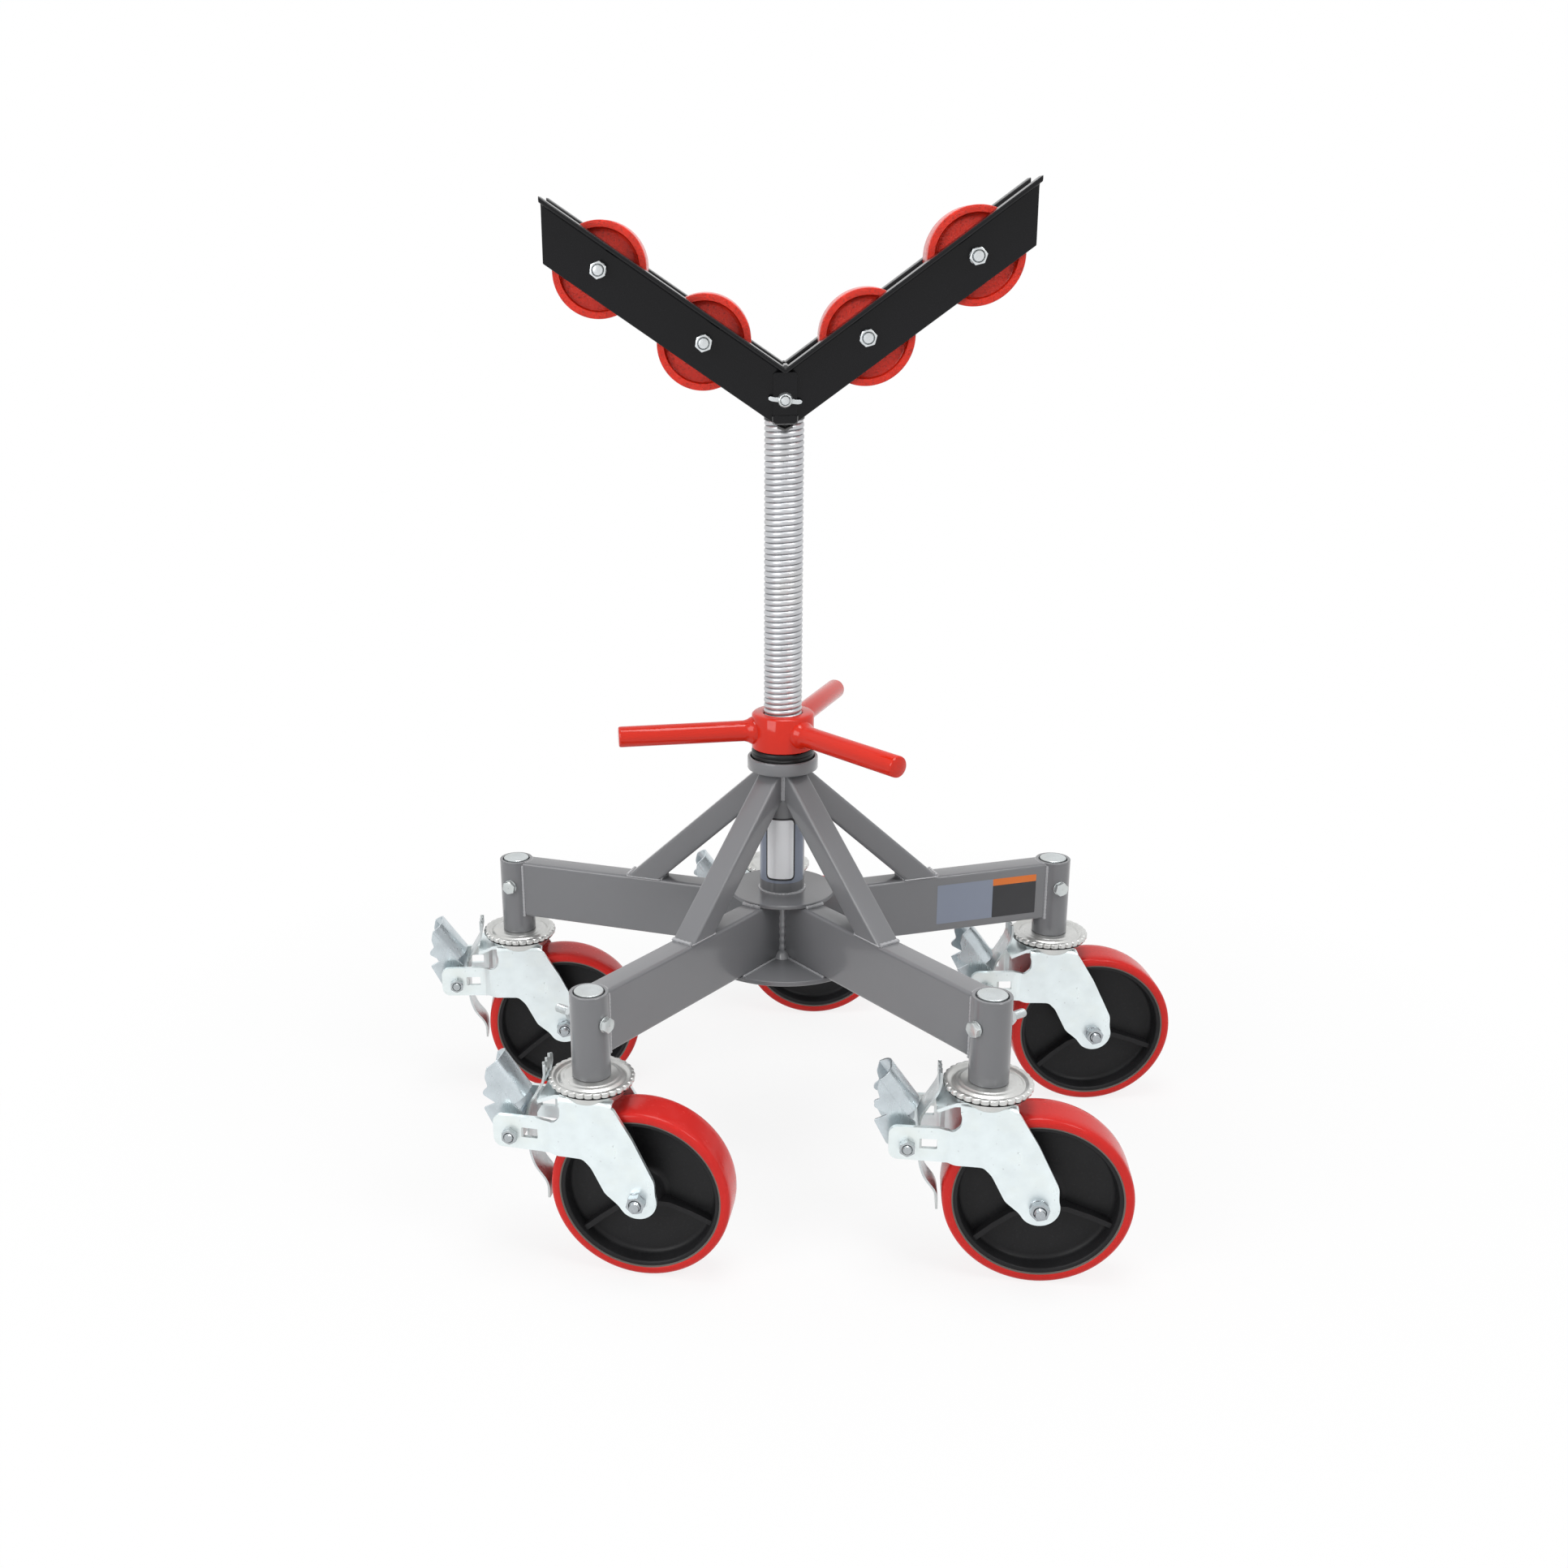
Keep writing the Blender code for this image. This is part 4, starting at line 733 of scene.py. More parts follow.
brace = Build()
corners = tube_section(2 * LEG_HALF, BRACE_DEPTH)
ends = [brace_ends(y, BRACE_DEPTH / 2 + z) for y, z in corners]
brace.grid([[end[0] for end in ends], [end[1] for end in ends]])
brace.five("brace_{}_tube", GREY, "frame", leg_frame, "brace_{}")
near_foot = FOOT_REACH - BRACE_DEPTH / math.sin(SLOPE)
brace_beads = Build()
for x in (near_foot, FOOT_REACH):
    brace_beads.weld([(x, -13 * MM, FOOT + 0.8 * MM), (x, 13 * MM, FOOT + 0.8 * MM)], 2.6 * MM)
for y in (-LEG_HALF, LEG_HALF):
    brace_beads.weld([(near_foot, y * 0.98, FOOT), (FOOT_REACH, y * 0.98, FOOT)], 1.0 * MM)
    brace_beads.weld([brace_ends(y * 0.99, n)[0] for n in (27 * MM, 3 * MM)], 1.9 * MM)
brace_beads.weld([brace_ends(y * MM, 2 * MM)[0] for y in range(-13, 14)], 2.2 * MM)
brace_beads.five("brace_{}_welds", BEAD, "frame", leg_frame)
print("brace slope:", round(math.degrees(SLOPE), 1), "degrees")

# %% [markdown]
# ## Plain labels
# One leg carries a label in three plain colours, and the column a pale panel in a dark border on a
# blue-grey wrap. They could be patches of colour in the paint, but real labels are thin films whose
# edges catch the light, so each is a mesh that stands only a hair proud of the paint.

# %% Films on the leg and the column
def film(name, finish, x0, x1, z0, z1, lift):
    """A flat film on the near side of the right leg, with its place in millimetres."""
    build = Build()
    outline = panel(x0 * MM, x1 * MM, z0 * MM, z1 * MM, 1.2 * MM, 3)
    build.plate(outline, -LEG_HALF - lift * MM, -LEG_HALF - 0.02 * MM)
    build.done(name, finish, "frame", leg_frame("right"))


def wrap(name, finish, start, end, low, high, lift, corner):
    """A film bent round the column between two headings in degrees, with its sizes in millimetres."""
    low, high, lift, corner = low * MM, high * MM, lift * MM, corner * MM
    width = math.radians(end - start) * TUBE_RADIUS
    rows = []
    for k in range(49):
        x = width * k / 48
        cut = corner - reach_of(corner, corner - min(x, width - x, corner))
        angle = math.radians(start) + x / TUBE_RADIUS
        skin = [polar(TUBE_RADIUS + lift, angle, z) for z in (low + cut, high - cut)]
        back = [polar(TUBE_RADIUS - 0.5 * MM, angle, z) for z in (high - cut, low + cut)]
        rows.append(skin + back)
    build = Build()
    build.grid(rows)
    build.done(name, finish, "frame", COLUMN, smooth=60)
    print(name, "is", round(width / MM), "mm round")


film("label_blue", LABEL_BLUE, 200, 275.4, 269, 321, 0.12)
film("label_dark", LABEL_BLACK, 275, 334, 269, 312.5, 0.14)
film("label_orange", LABEL_ORANGE, 275, 334, 312, 321, 0.16)
wrap("column_wrap", LABEL_BLUE, -168, -22, 353, 428, 0.12, 1.5)
wrap("column_border", LABEL_BLACK, -136, -57, 356.5, 437, 0.2, 6)
wrap("column_panel", LABEL_WHITE, -131.8, -61.2, 359, 434.5, 0.28, 4.5)

# %% [markdown]
# ## The nut with its three bars
# The operator turns the hub by its bars. The bars are plain round bar pushed against the hub and
# welded all round, which leaves a smooth flare of weld under the enamel. So each bar's profile
# starts with that flare, and it is spun like the hub itself.

# %% Hub, bars and flares
FIRST_BAR = math.radians(-51.3)
hub_low, hub_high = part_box("handle_nut")
half_height = (hub_high.z - hub_low.z) / 2
hub = Build()
hub_side = from_base(-half_height, [(22.9, 0), (36.2, 0), (36.8, 0.6)])
hub_side += from_base(half_height, [(36.8, -2.2), (36.3, -1.54), (34.6, -0.22), (34.2, 0)])
hub_side += from_base(half_height, [(24.2, 0), (22.9, -1.3)])
hub.lathe(hub_side, sides=128, closed=True)
flare = [(16.8, 24), (16.8, 36.2), (16.2, 38.4), (14.9, 40.6), (13.9, 42.3), (13.2, 44.5), (12.6, 47)]
bar = mm(flare + [(12.5, 60), (12.5, 194.6), (12.1, 196.2), (11.2, 197), (2, 197)])
for k in range(3):
    hub.lathe(bar, turn(FIRST_BAR + 2 * math.pi * k / 3) @ turn(math.pi / 2, "Y"), 64)
hub_place = COLUMN @ shift(0, 0, (hub_low.z + hub_high.z) / 2)
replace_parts(hub.done("turning_nut", RED, "handle", hub_place, smooth=42), "handle_nut")
print("hub height:", round(2 * half_height, 4))

# %% [markdown]
# ## The screw
# The thread was rolled, so its ridges are round and run up to the right. Instead of sweeping a
# tooth along a helix, the skin is one grid round the axis whose rows climb with the ridges, so no
# ridge cuts across a face. At every point the distance from the axis follows from how far that
# point is from the nearest ridge. That can't tear or overlap.

# %% A rolled thread
SCREW_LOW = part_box("screw")[0].z
THREAD_TOP = SCREW_LOW + 484 * MM
PITCH = 6.6 * MM
CREST = 22.5 * MM
DEPTH = 1.8 * MM
SEEN_GROOVE = 869.4 * MM
TURNS_BELOW = math.ceil((SEEN_GROOVE - SCREW_LOW) / PITCH) + 2
GROOVE_START = SEEN_GROOVE - PITCH * TURNS_BELOW - PITCH * 0.125
SIDES = 56
ROWS_PER_TURN = 10


def thread_radius(angle, height):
    """Distance of the rolled skin from the axis."""
    phase = (height - GROOVE_START) / PITCH - angle / (2 * math.pi) - 0.5
    wave = abs(math.cos(math.pi * phase))
    return CREST - DEPTH + DEPTH * wave ** 0.65


def thread_point(k, i):
    """The skin at one row and side, held between the thread's two ends."""
    angle = 2 * math.pi * i / SIDES
    height = GROOVE_START + PITCH * (k / ROWS_PER_TURN + angle / (2 * math.pi))
    height = min(max(height, SCREW_LOW), THREAD_TOP)
    from_end = min(height - SCREW_LOW, THREAD_TOP - height)
    share = min(1, 0.5 + from_end / PITCH)
    radius = (CREST - DEPTH) * (1 - share) + thread_radius(angle, height) * share
    return polar(radius, angle, height)


def climbing_grid(mesh, count):
    """A skin whose rows climb like a thread: each one ends on the row a turn above."""
    made = [[mesh.verts.new(thread_point(k, i)) for i in range(SIDES)] for k in range(count)]
    for k in range(count - 1):
        for i in range(SIDES - 1):
            mesh.faces.new((made[k][i], made[k][i + 1], made[k + 1][i + 1], made[k + 1][i]))
        if k + ROWS_PER_TURN + 1 < count:
            above, higher = made[k + ROWS_PER_TURN][0], made[k + ROWS_PER_TURN + 1][0]
            mesh.faces.new((made[k][-1], above, higher, made[k + 1][-1]))


screw = Build()
last_row = math.ceil((THREAD_TOP - GROOVE_START) / PITCH + 2) * ROWS_PER_TURN
climbing_grid(screw.mesh, last_row)
low_end, high_end = [[thread_point(k, i) for i in range(SIDES)] for k in (0, last_row)]
neck = from_base(THREAD_TOP, [(18, 0), (18, 46.5), (17, 48), (14, 48)]) + from_base(SCREW_LOW, [(14, 0)])
round_part = [[polar(r, a, z) for a in round_angles(SIDES)] for r, z in neck]
screw.grid([high_end] + round_part + [low_end], caps=False)
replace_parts(screw.done("lifting_screw", SCREW_ZINC, "lift_screw", COLUMN, smooth=50), "screw")
print("turns of thread:", round((THREAD_TOP - SCREW_LOW) / PITCH, 1))

# %% [markdown]
# ## The V of angle section
# Each side of the V is rolled angle: a deep web with a narrow flange turned outwards. The bend has
# a round outer corner and a fillet inside it. Both arms are mitred at the middle and cut upright
# at their ends, so every line of the section keeps its slope and only slides up and down. The
# beads on the front side and the thin rim round its tab are a piece in a glossier black.

# %% Two V plates
HEAD_SLOPE = math.radians(35.3)
SPAN = 263 * MM
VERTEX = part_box("v_plate_front")[1].z - SPAN * math.tan(HEAD_SLOPE)
HEAD = COLUMN @ shift(0, 0, VERTEX)
WEB = [(31, 10), (31, 55.5), (30, 56.5), (26, 56.5), (26, 2.6), (26.3, 1.3), (27.3, 0.3), (28.6, 0)]
FLANGE = [(50.8, 0), (52, 1.2), (52, 3.2), (50.2, 5), (36, 5), (33.6, 5.6), (31.8, 7.2)]


def v_side(build, place=HERE):
    """One V with its flange to the front. Its section is (distance out, depth below the top edge)."""
    rows = []
    for x in (-SPAN, 1 * MM - SPAN, 0, SPAN - 1 * MM, SPAN):
        lift = abs(x) * math.tan(HEAD_SLOPE)
        rows.append([(x, -out, lift - depth / math.cos(HEAD_SLOPE)) for out, depth in mm(WEB + FLANGE)])
    build.grid(rows, place)


v_front = Build()
v_side(v_front)
v_front.plate(panel(-13.2 * MM, 13.2 * MM, -59 * MM, -5 * MM, 5 * MM, 4), -36 * MM, -28 * MM)
v_front.plate(panel(-14 * MM, 14 * MM, -61 * MM, -51.5 * MM, 3 * MM, 4), -38.6 * MM, -34 * MM)
front = v_front.done("v_angle_front", BLACK, "head", HEAD, smooth=30, bevel=0.5 * MM)
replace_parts(front, "v_plate_front")

v_bead = Build()
v_bead.weld(mm([(-8, -31, -63.4), (0, -31.6, -67), (8, -31, -63.4)]), 2.6 * MM)
v_bead.weld(mm([(0, -y, 0.4) for y in (27.5, 36, 44, 51)]), 3.8 * MM)
tab_rim = [(-13.8, -52.2), (-13.4, -58.4), (-11, -60.6), (11, -60.6), (13.4, -58.4), (13.8, -52.2)]
v_bead.weld(mm([(x, -38.5, z) for x, z in tab_rim]), 0.7 * MM)
v_bead.done("v_front_welds", BLACK_BEAD, "head", HEAD)

v_rear = Build()
v_side(v_rear, turn(math.pi))
v_rear.weld(mm([(0, y, -0.4) for y in (28, 36, 44, 50)]), 2.2 * MM)
v_rear.weld(mm([(0, 31, -69), (0, 31, -8)]), 1.6 * MM)
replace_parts(v_rear.done("v_angle_rear", BLACK, "head", HEAD, smooth=30), "v_plate_rear")
print("vertex of the V at", round(VERTEX, 4))

# %% [markdown]
# ## The head's sleeve and its wing nut
# A sleeve between the two Vs slips over the screw's plain neck, and one stud with a wing nut holds
# it there. Two stubs of weld on each side tie the sleeve to the webs. The wings of the nut could be
# modelled by hand, but at their size an outline with some thickness and rounded edges is enough.

# %% Sleeve, stud and wing nut
sleeve_low, sleeve_high = [corner.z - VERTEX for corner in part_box("head_socket")]
sleeve = Build()
sleeve_side = from_base(sleeve_low, [(18.3, 0), (22.2, 0), (22.8, 0.7), (22.8, 9), (25.2, 10), (25.7, 11)])
sleeve_side += from_base(sleeve_high, [(25.7, -1), (24.8, 0), (18.3, 0)])
sleeve.lathe(sleeve_side, closed=True)
for x in (-8 * MM, 8 * MM):
    for y in (-25.4 * MM, 25.4 * MM):
        sleeve.weld([(x, y, sleeve_low + 14 * MM), (x, y, sleeve_high - 2 * MM)], 2.2 * MM)
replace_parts(sleeve.done("head_sleeve", BLACK, "head", HEAD), "head_socket")

CLAMP = HEAD @ shift(0, 0, -34.6 * MM)
STRAP_FACE = 36.3 * MM
clamp_reach = COLUMN.translation.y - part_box("clamp_bolt")[0].y
clamp = Build()
clamp.lathe([(4.8 * MM, 18.4 * MM), (4.8 * MM, STRAP_FACE)], TO_FRONT, 32)
stud(clamp, in_front(STRAP_FACE), 4.9 * MM, clamp_reach - STRAP_FACE - 0.6 * MM, 1.5 * MM)
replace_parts(clamp.done("clamp_stud", BOLT_ZINC, "head", CLAMP), "clamp_bolt")

wing = Build()
wing.lathe(mm([(5.4, 0), (8.2, 0), (8.6, 1.2), (7.4, 9), (6.4, 10), (5.4, 10)]), TO_FRONT, 48, True)
lobe = [(4, -2.8), (9, -2.9), (14.6, -2.8), (18.2, -1.6), (18.8, 1.0), (16.6, 2.6), (12, 1.8), (4, 2.4)]
for side in (-1, 1):
    wing.plate(rounded(mm([(side * x, z) for x, z in lobe]), 1.6 * MM, 3), -6.4 * MM, -3.6 * MM)
wing_place = CLAMP @ shift(0, -STRAP_FACE, 0) @ turn(math.radians(8), "Y")
wing_piece = wing.done("wing_nut_cast", BOLT_ZINC, "wing_nut", wing_place, smooth=42, bevel=0.7 * MM)
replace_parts(wing_piece, "wing_nut")
print("clamp at", [round(v, 4) for v in CLAMP.translation])

# %% [markdown]
# ## Rollers
# Each roller is a red casting: a plain rolling face, a flat machined ring beside it, then a dark
# step down to a rough, slightly dished web with a boss in the middle. Every spoke of light on it
# comes from that profile, so it is spun with small radii instead of hard corners. Its bolt has a
# head behind, and in front a washer, a nut and a bolt's end.

# %% Four rollers on their bolts
ROLLER_FLATS = 16.8 * MM
roller_side = [(6.3, 25.6), (13, 25.6), (14, 24.6), (14, 20.5), (16, 19.8), (38.5, 17.6), (41.6, 17.6)]
roller_side += [(43.2, 18.4), (43.9, 20), (44, 23.2), (44.6, 24), (50.6, 24), (51.6, 23.6), (52, 22.6)]
roller = Build()
roller.lathe(both_sides(roller_side), TO_FRONT, 112, True)
roller_data = roller.data("cast_roller_1", ROLLER_RED)
for k in range(1, 5):
    low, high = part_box(f"roller_{k}")
    place = Matrix.Translation((low + high) / 2)
    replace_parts(show(f"cast_roller_{k}", roller_data, f"roller_{k}", place), f"roller_{k}")
    bolt = Build()
    bolt.lathe(mm([(6, -31), (6, 38.4)]), TO_FRONT, 32)
    washer(bolt, in_front(31.1 * MM), 8.9 * MM, 6.2 * MM, 1.4 * MM)
    hexagon(bolt, in_front(32.5 * MM, 0.4 + k), ROLLER_FLATS, 9 * MM, 6.9 * MM)
    stud(bolt, in_front(38 * MM), 6.2 * MM, 4.6 * MM, 1.5 * MM)
    hexagon(bolt, behind(31.1 * MM, 0.9 * k), ROLLER_FLATS, 7.6 * MM, 0.5 * MM)
    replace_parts(bolt.done(f"roller_bolt_{k}", BOLT_ZINC, "head", place), f"roller_axle_{k}")
print("points in each of the four rollers:", len(roller_data.vertices))

# %% [markdown]
# ## Caster stems and their toothed rings
# A solid stem fills the socket but for a narrow dark gap round its top, and one bolt through both
# holds it, with a long threaded end. Below the socket sits a dished ring with thirty scallops round
# its rim: the brake's tongue drops into one of them and stops the caster swivelling. The ring is a
# piece of its own with a warmer plating, and its rim radius simply follows a wave.

# %% The toothed ring
TEETH = 30
TOOTH_DEPTH = 2.6 * MM
RING_LOW = SOCKET_LOW - 6.9 * MM
RING_LEVELS = [(20, 3, 0), (45.2, 3, 0.9), (45.6, 0.3, 0.9), (46.8, 0.2, 1), (47.6, 0.7, 1)]
RING_LEVELS += [(48, 2.2, 1), (48, 4.2, 1), (47.5, 5.4, 1), (46.4, 6.0, 0.8), (44.6, 6.1, 0.25)]
RING_LEVELS += [(42.8, 5.9, 0), (41.4, 5.0, 0), (40.0, 3.4, 0), (38.6, 2.8, 0), (37.0, 3.2, 0)]
RING_LEVELS += [(35.6, 4.6, 0), (34.4, 5.2, 0), (32.8, 5.4, 0), (31.2, 5.6, 0), (30.2, 6.4, 0)]
RING_LEVELS += [(29.0, 6.6, 0), (20, 6.6, 0)]


def scalloped(radius, angle, share):
    """Rim radius of the toothed ring: round teeth with narrow gaps between."""
    tooth = abs(math.cos(TEETH / 2 * angle)) ** 0.45
    return radius - TOOTH_DEPTH * share * (1 - tooth)


def on_stem(name):
    """The stem's own frame. At two legs the cross bolt goes in from the other side."""
    about = math.pi if name in ("left", "front_left") else 0
    return leg_frame(name) @ shift(STEM_RADIUS, 0, 0) @ turn(about)


toothed_ring = Build()
ring_rows = []
for radius, height, share in RING_LEVELS:
    level = RING_LOW + height * MM
    ring_rows.append([polar(scalloped(radius * MM, a, share), a, level) for a in round_angles(360)])
toothed_ring.grid(ring_rows)
toothed_ring.five("stem_{}_ring", RING_ZINC, "frame", on_stem, smooth=34)

# %% Stem and cross bolt
STEM_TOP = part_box("caster_stem_right")[1].z
CROSS_FLATS = 15.6 * MM
stem = Build()
stem_side = from_base(SOCKET_LOW, [(14.5, 0), (17.2, 0)])
stem_side += from_base(STEM_TOP, [(17.2, -5.5), (16.2, -4.6), (16.2, -0.7), (15.5, 0), (1, 0)])
stem.lathe(stem_side, sides=64)
bolt_level = shift(0, 0, SOCKET_TOP - 33 * MM)
face = SOCKET_RADIUS + 0.1 * MM
washer(stem, bolt_level @ in_front(face), 8.8 * MM, 5 * MM, 1.2 * MM)
hexagon(stem, bolt_level @ in_front(face + 1.2 * MM, 0.3), CROSS_FLATS, 5.6 * MM, 0.4 * MM)
washer(stem, bolt_level @ behind(face), 8.8 * MM, 5 * MM, 1.2 * MM)
hexagon(stem, bolt_level @ behind(face + 1.2 * MM, 0.1), CROSS_FLATS, 5.6 * MM, 4.6 * MM)
stud(stem, bolt_level @ behind(face + 6 * MM), 4.9 * MM, 20 * MM, 1.5 * MM)
stem.five("stem_{}_zinc", STEM_ZINC, "frame", on_stem, "caster_stem_{}", 34)

# %% [markdown]
# ## Forks
# A caster's fork is one pressing: a flat crown whose sides bend down into two cheeks, and whose
# shoulders fall off above the wheel. The cheeks narrow towards the axle, and behind they step apart
# and reach back as ears for the brake. Between the ears a plate slopes down from the crown. The
# bend is drawn as a quarter circle, a slot is cut through both ears at once, and the cut edges are
# rounded by a bevel, because a press leaves no sharp corners.

# %% Tools for the pressing
CROWN = 222 * MM
CHEEK_OUT = 36 * MM
CHEEK_IN = 31 * MM
BEND = 9 * MM
EAR_STEP = 2.8 * MM
STEP_PLACE = -44 * MM
STEP_WIDTH = 5 * MM


def cheek_outline():
    """A cheek's outline below the bend, from the measured corners."""
    front = [(31, 213), (52, 177), (76, 126)]
    tip = arc((56, 101.6), 22.3, 24, -132, 9)
    rear = [(35, 94), (20, 107), (5, 137.5), (-4, 147), (-21, 147.7), (-34.5, 147.9), (-46, 153.3)]
    ear = [(-99, 154.5), (-104.7, 161), (-104.7, 188), (-99, 193.5), (-49.5, 193.6)]
    arch = [(-37, 187.6), (-29, 195), (-28, 206), (-31, 213)]
    return rounded(mm(front + tip + rear + ear + arch), 4 * MM, 3)


def step_out(mesh):
    """Sets the ears further apart than the cheeks, with a slanting step between."""
    start = STEP_PLACE + STEP_WIDTH / 2
    for x in (STEP_PLACE - STEP_WIDTH / 2, start):
        everything = mesh.verts[:] + mesh.edges[:] + mesh.faces[:]
        bmesh.ops.bisect_plane(mesh, geom=everything, plane_co=(x, 0, 0), plane_no=(1, 0, 0))
    for vert in mesh.verts:
        share = min(1, max(0, (start - vert.co.x) / STEP_WIDTH))
        vert.co.y += math.copysign(EAR_STEP * share, vert.co.y)


def cut_slot(piece, outline):
    """Cuts a slot right through a fork's two ears."""
    tool = Build()
    tool.plate(outline, -60 * MM, 60 * MM)
    bmesh.ops.recalc_face_normals(tool.mesh, faces=tool.mesh.faces)
    data = bpy.data.meshes.new("slot")
    tool.mesh.to_mesh(data)
    tool.mesh.free()
    cutter = bpy.data.objects.new("slot", data)
    cutter.matrix_world = piece.matrix_world
    bpy.context.scene.collection.objects.link(cutter)
    bpy.context.view_layer.update()
    modifier = piece.modifiers.new("slot", "BOOLEAN")
    modifier.object = cutter
    modifier.operation = "DIFFERENCE"
    modifier.solver = "EXACT"
    modifier.use_self = True
    carved = bpy.data.meshes.new_from_object(piece.evaluated_get(bpy.context.evaluated_depsgraph_get()))
    piece.modifiers.clear()
    piece.data = carved
    bpy.data.objects.remove(cutter)


print("fork tools ready, with a cheek of", len(cheek_outline()), "points")

# %% The pressing
pressing = Build()
pressing.plate(cheek_outline(), -CHEEK_OUT, -CHEEK_IN)
pressing.plate(cheek_outline(), CHEEK_IN, CHEEK_OUT)
step_out(pressing.mesh)
bend_out = arc((BEND - CHEEK_OUT, CROWN - BEND), BEND, 180, 90, 6)
bend_in = arc((BEND - CHEEK_OUT, CROWN - BEND), BEND + CHEEK_IN - CHEEK_OUT, 90, 180, 6)
crown_section = bend_out + [(-y, z) for y, z in reversed(bend_out)]
crown_section += [(-y, z) for y, z in reversed(bend_in)] + bend_in
crown_rows = []
for x, share in ((-30, 1), (-20, 1), (17, 1), (23, 0.86), (27.5, 0.64), (30, 0.36)):
    crown_rows.append([(x * MM, y, CROWN - BEND + (z - CROWN + BEND) * share) for y, z in crown_section])
pressing.grid(crown_rows)
back_plate = mm([(-20, 217), (-20, 222), (-34, 221.4), (-55, 212.4), (-53.6, 208.8), (-36, 216.4)])
pressing.plate(rounded(back_plate, 1 * MM, 2), -32 * MM, 32 * MM)
forks = [pressing.done("fork_right_pressing", ZINC, "caster_right", caster_frame("right"), smooth=35)]
cut_slot(forks[0], panel(-72 * MM, -53.5 * MM, 168.6 * MM, 180.4 * MM, 1.5 * MM, 3))
fork_data = forks[0].data
fork_data.name = "fork_pressing"
for name in LEGS[1:]:
    forks.append(show(f"fork_{name}_pressing", fork_data, f"caster_{name}", caster_frame(name), smooth=35))
for name, fork in zip(LEGS, forks):
    soften_edges(fork, 1.1 * MM, 2)
    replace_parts(fork, f"fork_{name}")
print("fork points:", len(fork_data.vertices))

# %% [markdown]
# ## What is bolted to the fork
# The swivel's cup sits on the crown, plated like the toothed ring, with a thin dark seal over it.
# The axle bolt shows a nut and a stud's end on the near side and a plain head on the far side, and
# a smaller bolt through the ears carries the brake pedal. Each bolt has a frame in which Z points
# along it, so the helpers for nuts and washers serve for both without any new angles.

# %% The swivel's cup and seal
cup = Build()
cup_side = [(9, -1), (31, -9.6), (34.8, -9), (36.6, -7.2), (37.8, -4.6), (39, -1.4), (40.4, 1.4)]
cup_side += [(40.8, 2.6), (40.4, 3.6), (9, 3.6)]
cup.lathe(from_base(CROWN, cup_side), sides=96, closed=True)
cup.five("swivel_cup_{}", RING_ZINC, "caster_{}", caster_frame)
seal = Build()
seal_side = [(9, 3.5), (44.6, 3.5), (45.4, 3.8), (45.4, 4.8), (44.6, 5.3), (9, 5.3)]
seal.lathe(from_base(CROWN, seal_side), sides=96, closed=True)
seal.five("swivel_seal_{}", SHROUD, "caster_{}", caster_frame)

# %% Axle bolt and ear bolt
AXLE = shift(TRAIL, 0, WHEEL_RADIUS)
AXLE_FLATS = 18.8 * MM
EAR = shift(-85 * MM, 0, 170 * MM)
EAR_FLATS = 15.8 * MM
EAR_FACE = CHEEK_OUT + EAR_STEP
gear = Build()
gear.lathe([(6.1 * MM, -CHEEK_OUT), (6.1 * MM, 45.8 * MM)], AXLE @ TO_FRONT, 32)
washer(gear, AXLE @ in_front(CHEEK_OUT), 10.4 * MM, 6.2 * MM, 1.5 * MM)
hexagon(gear, AXLE @ in_front(37.5 * MM, 0.25), AXLE_FLATS, 9 * MM, 7.3 * MM)
stud(gear, AXLE @ in_front(45.6 * MM), 6.1 * MM, 5.6 * MM, 1.75 * MM)
hexagon(gear, AXLE @ behind(CHEEK_OUT), AXLE_FLATS, 7.6 * MM, 0.5 * MM)
gear.lathe([(5 * MM, -EAR_FACE), (5 * MM, EAR_FACE + 6.8 * MM)], EAR @ TO_FRONT, 32)
hexagon(gear, EAR @ in_front(EAR_FACE, 0.5), EAR_FLATS, 7.2 * MM, 6.0 * MM)
stud(gear, EAR @ in_front(EAR_FACE + 6.6 * MM), 5 * MM, 3.4 * MM, 1.5 * MM)
hexagon(gear, EAR @ behind(EAR_FACE), EAR_FLATS, 6.0 * MM, 0.5 * MM)
gear.five("fork_{}_bolts", GEAR_ZINC, "caster_{}", caster_frame, smooth=34)


def on_axle(name):
    """The frame of a caster's wheel."""
    return caster_frame(name) @ AXLE


def on_ear(name):
    """The frame of a caster's pedal, about its bolt."""
    return caster_frame(name) @ EAR


# %% [markdown]
# ## Wheels
# The centre is a black casting: a rim, a thin recessed web, a boss and three ribs on each side.
# The tread is poured round it and stands proud with soft shoulders, and a thin grey band of bond
# shows between the two. One wheel with three zones of colour would be fewer pieces, but the edges
# between the materials are real ones, so three profiles are spun, each with its own finish.

# %% Centre, band and tread
FIRST_RIB = math.radians(-20)
centre = Build()
web = [(6.4, 30.6), (19.5, 30.6), (21, 29.4), (23, 16), (24.6, 8.5), (28, 5.4), (32, 5), (78, 5)]
web += [(81.5, 6.4), (83.4, 10), (84.6, 21.6), (85.6, 23.2), (87, 23.6), (90.3, 23.4)]
centre.lathe(both_sides(web), TO_FRONT, 128, True)
rib = [(20, 4), (84, 4), (84, 18), (60, 15.6), (34, 17), (20, 24)]
for k in range(3):
    for side in (-1, 1):
        outline = mm([(x, side * z) for x, z in rib])
        centre.plate(outline, -3 * MM, 3 * MM, TO_FRONT @ turn(FIRST_RIB + 2 * math.pi * k / 3))
centre.five("wheel_centre_{}", HUB_BLACK, "wheel_{}", on_axle, "wheel_hub_{}", 44)
band = Build()
band_side = [(89.4, 23.2), (89.6, 24.2), (90.2, 24.6), (91.4, 24.6), (91.6, 22)]
band.lathe(both_sides(band_side), TO_FRONT, 128, True)
band.five("wheel_band_{}", BOND, "wheel_{}", on_axle)
tread = Build()
